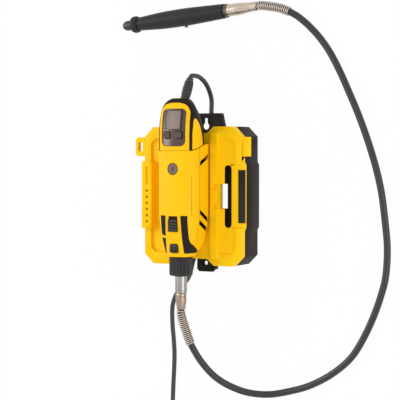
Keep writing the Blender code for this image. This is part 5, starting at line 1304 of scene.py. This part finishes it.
soften("slide_switch", nut_rubber, 0.35 * MM)
soften("switch_block", black_plastic, 0.2 * MM)
soften("lock_button", nut_rubber, 0.6 * MM, sharp=45, steps=3)
for side, depth, node in [(1, BODY_FRONT, "brush_cap_front"), (-1, BODY_REAR, "brush_cap_rear")]:
    wall = depth - BODY_WALL
    thick = BODY_WALL - 2 * GAP
    dish = thick - BRUSH_DISH_DEPTH
    profile = [(0, 0), (BRUSH_CAP_RADIUS, 0), (BRUSH_CAP_RADIUS, thick - BRUSH_RIM_ROUND),
               (BRUSH_CAP_RADIUS - BRUSH_RIM_ROUND, thick), (BRUSH_CAP_RADIUS - BRUSH_RIM_WIDTH, thick),
               (BRUSH_CAP_RADIUS - BRUSH_DISH_INSET, dish), (0, dish)]
    plug_cap = lathe(profile, (0, BRUSH_Y, AXIS_Z + side * wall), (0, 0, side))
    half_x, half_y = BRUSH_SLOT_HALF
    slot_z = sorted((AXIS_Z + side * (depth - BRUSH_SLOT_DEPTH), AXIS_Z + side * 2 * depth))
    cut(plug_cap, block((-half_x, half_x), (BRUSH_Y - half_y, BRUSH_Y + half_y), slot_z))
    dress(plug_cap, brush_plastic, node, soft_edge=0.12 * MM)
print("controls made")

# %% [markdown]
# ## Nose: coupling nut, ferrule and crimp sleeve
# The fluted nut screws onto the nose and holds the drive ferrule. A loft of rings with a wavy radius gives
# the flutes, and they fade towards the ends. The ferrule is a straight nickel tube. The crimp sleeve narrows
# to the sheath, and the guard spring starts at its end.

# %% Coupling nut
NUT_TOP_Y = NOSE_Y - GAP
NUT_LENGTH = 23 * MM
NUT_END_WALL = 3.5 * MM
NUT_RIBS = 20
NUT_RIB_HEIGHT = 1.3 * MM
FERRULE_NECK_RADIUS = 6 * MM
# Rings of the nut: distance from its top, radius, share of the flutes' depth
NUT_RINGS = [(0, 13.2, 0), (0.5, 13.9, 0), (1.4, 14.3, 0.1), (2.2, 14.3, 0.8), (3, 14.3, 1), (19.5, 14.3, 1),
             (20.6, 14.25, 0.8), (21.6, 14.0, 0.4), (22.5, 13.3, 0.1), (23, 12.4, 0)]


def fluted(distance, radius, share):
    """A ring of the nut, with flutes in its edge."""
    def place(across, out):
        wave = 0.5 - 0.5 * math.cos(NUT_RIBS * math.atan2(out, across))
        reach = radius * MM - NUT_RIB_HEIGHT * share * wave ** 2
        return Vector((reach * across, NUT_TOP_Y - distance * MM, AXIS_Z + reach * out))
    return place


nut = lofted([fluted(*row) for row in NUT_RINGS], 12 * NUT_RIBS)
bore_length = NUT_LENGTH - NUT_END_WALL
cut(nut, rod(COLLAR_RADIUS + GAP, (0, NUT_TOP_Y + MM, AXIS_Z), DOWN, bore_length + MM))
cut(nut, rod(FERRULE_NECK_RADIUS + GAP, (0, NUT_TOP_Y, AXIS_Z), DOWN, 2 * NUT_LENGTH))
dress(nut, nut_rubber, "coupling_nut", sharp=50)
print("nut has", NUT_RIBS, "flutes")

# %% Ferrule and crimp sleeve
NUT_END_Y = NUT_TOP_Y - NUT_LENGTH
FERRULE_LIP = 2.2 * MM
FERRULE_RADIUS = 7.3 * MM
FERRULE_END_Y = NUT_END_Y - 20.7 * MM
CRIMP_RADIUS = 6.6 * MM
CRIMP_LENGTH = 20.2 * MM
# Where the crimp sleeve narrows: radius, share of its length
CRIMP_TAPER = [(6.3 * MM, 0.55), (5.9 * MM, 0.72), (5.4 * MM, 0.88)]

lip_top = NUT_END_Y + NUT_END_WALL + GAP + FERRULE_LIP
lip_radius = COLLAR_RADIUS - GAP
under = lip_top - NUT_END_Y + GAP
reach = lip_top - FERRULE_END_Y
profile = [(CORE_BORE, 0), (lip_radius, 0), (lip_radius, FERRULE_LIP), (FERRULE_NECK_RADIUS, FERRULE_LIP),
           (FERRULE_NECK_RADIUS, under), (FERRULE_RADIUS - 0.4 * MM, under),
           (FERRULE_RADIUS, under + 0.5 * MM)]
profile += grooved(FERRULE_RADIUS, reach - 5 * MM, reach - 0.5 * MM, 1)
profile += [(FERRULE_RADIUS - 0.4 * MM, reach), (CORE_BORE, reach)]
ferrule = lathe(profile, (0, lip_top, AXIS_Z), DOWN, bore=True)
dress(ferrule, nickel, "drive_ferrule", soft_edge=0.15 * MM)

profile = [(CORE_BORE, 0), (CRIMP_RADIUS - 0.3 * MM, 0)]
profile += grooved(CRIMP_RADIUS, 0.6 * MM, CRIMP_LENGTH * 0.4, 1)
profile += [(radius, CRIMP_LENGTH * share) for radius, share in CRIMP_TAPER]
profile += [(5.1 * MM, CRIMP_LENGTH - 0.6 * MM), (4.7 * MM, CRIMP_LENGTH), (CORE_BORE, CRIMP_LENGTH)]
crimp = lathe(profile, (0, FERRULE_END_Y - GAP, AXIS_Z), DOWN, bore=True)
dress(crimp, crimp_nickel, "crimp_sleeve", soft_edge=0.15 * MM)
print("ferrule and crimp sleeve made")

# %% [markdown]
# ## The handpiece
# The handle is a slim rubber-covered spindle, thickest in its middle. Its profile runs on a smooth curve
# through a few measured radii and is spun about the handpiece's axis. A round flange guards the fingers, and
# the collet nut in front of it holds a bit. The pin at the side locks the spindle.

# %% Handle and flange
HANDPIECE_LENGTH = 122 * MM
HANDPIECE_BORE = 6.5 * MM
HANDPIECE_RADIUS = 11 * MM
PIN_FROM_REAR = 55 * MM
PIN_RADIUS = 2 * MM
FLANGE_RADIUS = 10.6 * MM
FLANGE_LENGTH = 9 * MM
FLANGE_ROUND = 2 * MM
FLANGE_BORE = 4 * MM
FLANGE_STEPS = 12
HANDLE_STEPS = 48
# Share of the handle's length, radius in millimetres
HANDLE_ROWS = [(0, 9), (0.2, 10), (0.45, 11), (0.7, 10.7), (0.9, 9.2), (1, 8.2)]

profile = [(HANDPIECE_BORE, 0)]
for step in range(HANDLE_STEPS + 1):
    share = step / HANDLE_STEPS
    profile.append((eased(HANDLE_ROWS, share)[0] * MM, share * HANDPIECE_LENGTH))
profile.append((HANDPIECE_BORE, HANDPIECE_LENGTH))
handle = lathe(profile, HANDPIECE_REAR, forward, bore=True)
pin_side = OUT.cross(forward)
pin_root = HANDPIECE_REAR + forward * PIN_FROM_REAR
cut(handle, rod(PIN_RADIUS + GAP, pin_root + pin_side * HANDPIECE_BORE / 2, pin_side, HANDPIECE_RADIUS, 32))
dress(handle, handle_rubber, "handpiece_body", soft_edge=0.4 * MM, sharp=40)
flange_at = HANDPIECE_LENGTH + GAP
profile = [(FLANGE_BORE, 0)]
for step in range(FLANGE_STEPS + 1):
    angle = math.pi * step / FLANGE_STEPS
    radius = FLANGE_RADIUS - FLANGE_ROUND * (1 - math.sin(angle))
    profile.append((radius, FLANGE_LENGTH * (1 - math.cos(angle)) / 2))
profile.append((FLANGE_BORE, FLANGE_LENGTH))
flange = lathe(profile, HANDPIECE_REAR + forward * flange_at, forward, bore=True)
dress(flange, handle_rubber, "handpiece_flange", sharp=40)
print("handle and flange made")

# %% Collet nut and lock pin
COLLET_RADIUS = 6.2 * MM
COLLET_LENGTH = 12.5 * MM
SPINDLE_BORE = 2.9 * MM
PIN_INNER = 4.7 * MM
PIN_LENGTH = HANDPIECE_RADIUS + 2.2 * MM - PIN_INNER
PIN_ROUND = 0.6 * MM

profile = [(SPINDLE_BORE, 0), (COLLET_RADIUS - MM, 0)] + grooved(COLLET_RADIUS, MM, COLLET_LENGTH - 4 * MM, 3)
profile += [(COLLET_RADIUS - 0.6 * MM, COLLET_LENGTH - 2.6 * MM), (COLLET_RADIUS - 2 * MM, COLLET_LENGTH),
            (SPINDLE_BORE, COLLET_LENGTH)]
collet_at = HANDPIECE_REAR + forward * (flange_at + FLANGE_LENGTH + GAP)
collet = lathe(profile, collet_at, forward, bore=True)
dress(collet, collet_steel, "collet_nut", soft_edge=0.15 * MM)
profile = [(0, 0), (PIN_RADIUS, 0), (PIN_RADIUS, PIN_LENGTH - PIN_ROUND),
           (PIN_RADIUS - PIN_ROUND, PIN_LENGTH), (0, PIN_LENGTH)]
lock_pin = lathe(profile, pin_root + pin_side * PIN_INNER, pin_side, 32)
dress(lock_pin, collet_steel, "lock_pin", soft_edge=0.15 * MM)
print("collet nut and lock pin made")

# %% [markdown]
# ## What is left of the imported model
# The motor, its bearings, the brushes and the drive sit inside and show only through the vents or when the
# tool is opened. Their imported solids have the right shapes, so they keep them and only get their finishes.

# %% Finishes for the inner nodes
INNER = {
    iron: ["stator", "armature_core"],
    copper: ["commutator"],
    black_plastic: ["cooling_fan"],
    steel: ["rear_bearing", "front_bearing", "motor_shaft", "nose_collar", "drive_core", "handpiece_spindle",
            "spindle_bearing_rear", "spindle_bearing_front"],
    brass: ["brush_holder_front", "brush_holder_rear"],
    carbon: ["brush_front", "brush_rear"],
    board: ["control_board"],
}
for finish, names in INNER.items():
    for name in names:
        nodes[name].data.materials.clear()
        nodes[name].data.materials.append(finish.material)
print(sum(len(names) for names in INNER.values()), "inner nodes finished")

# %% Measure the boxes and finish
low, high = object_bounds()
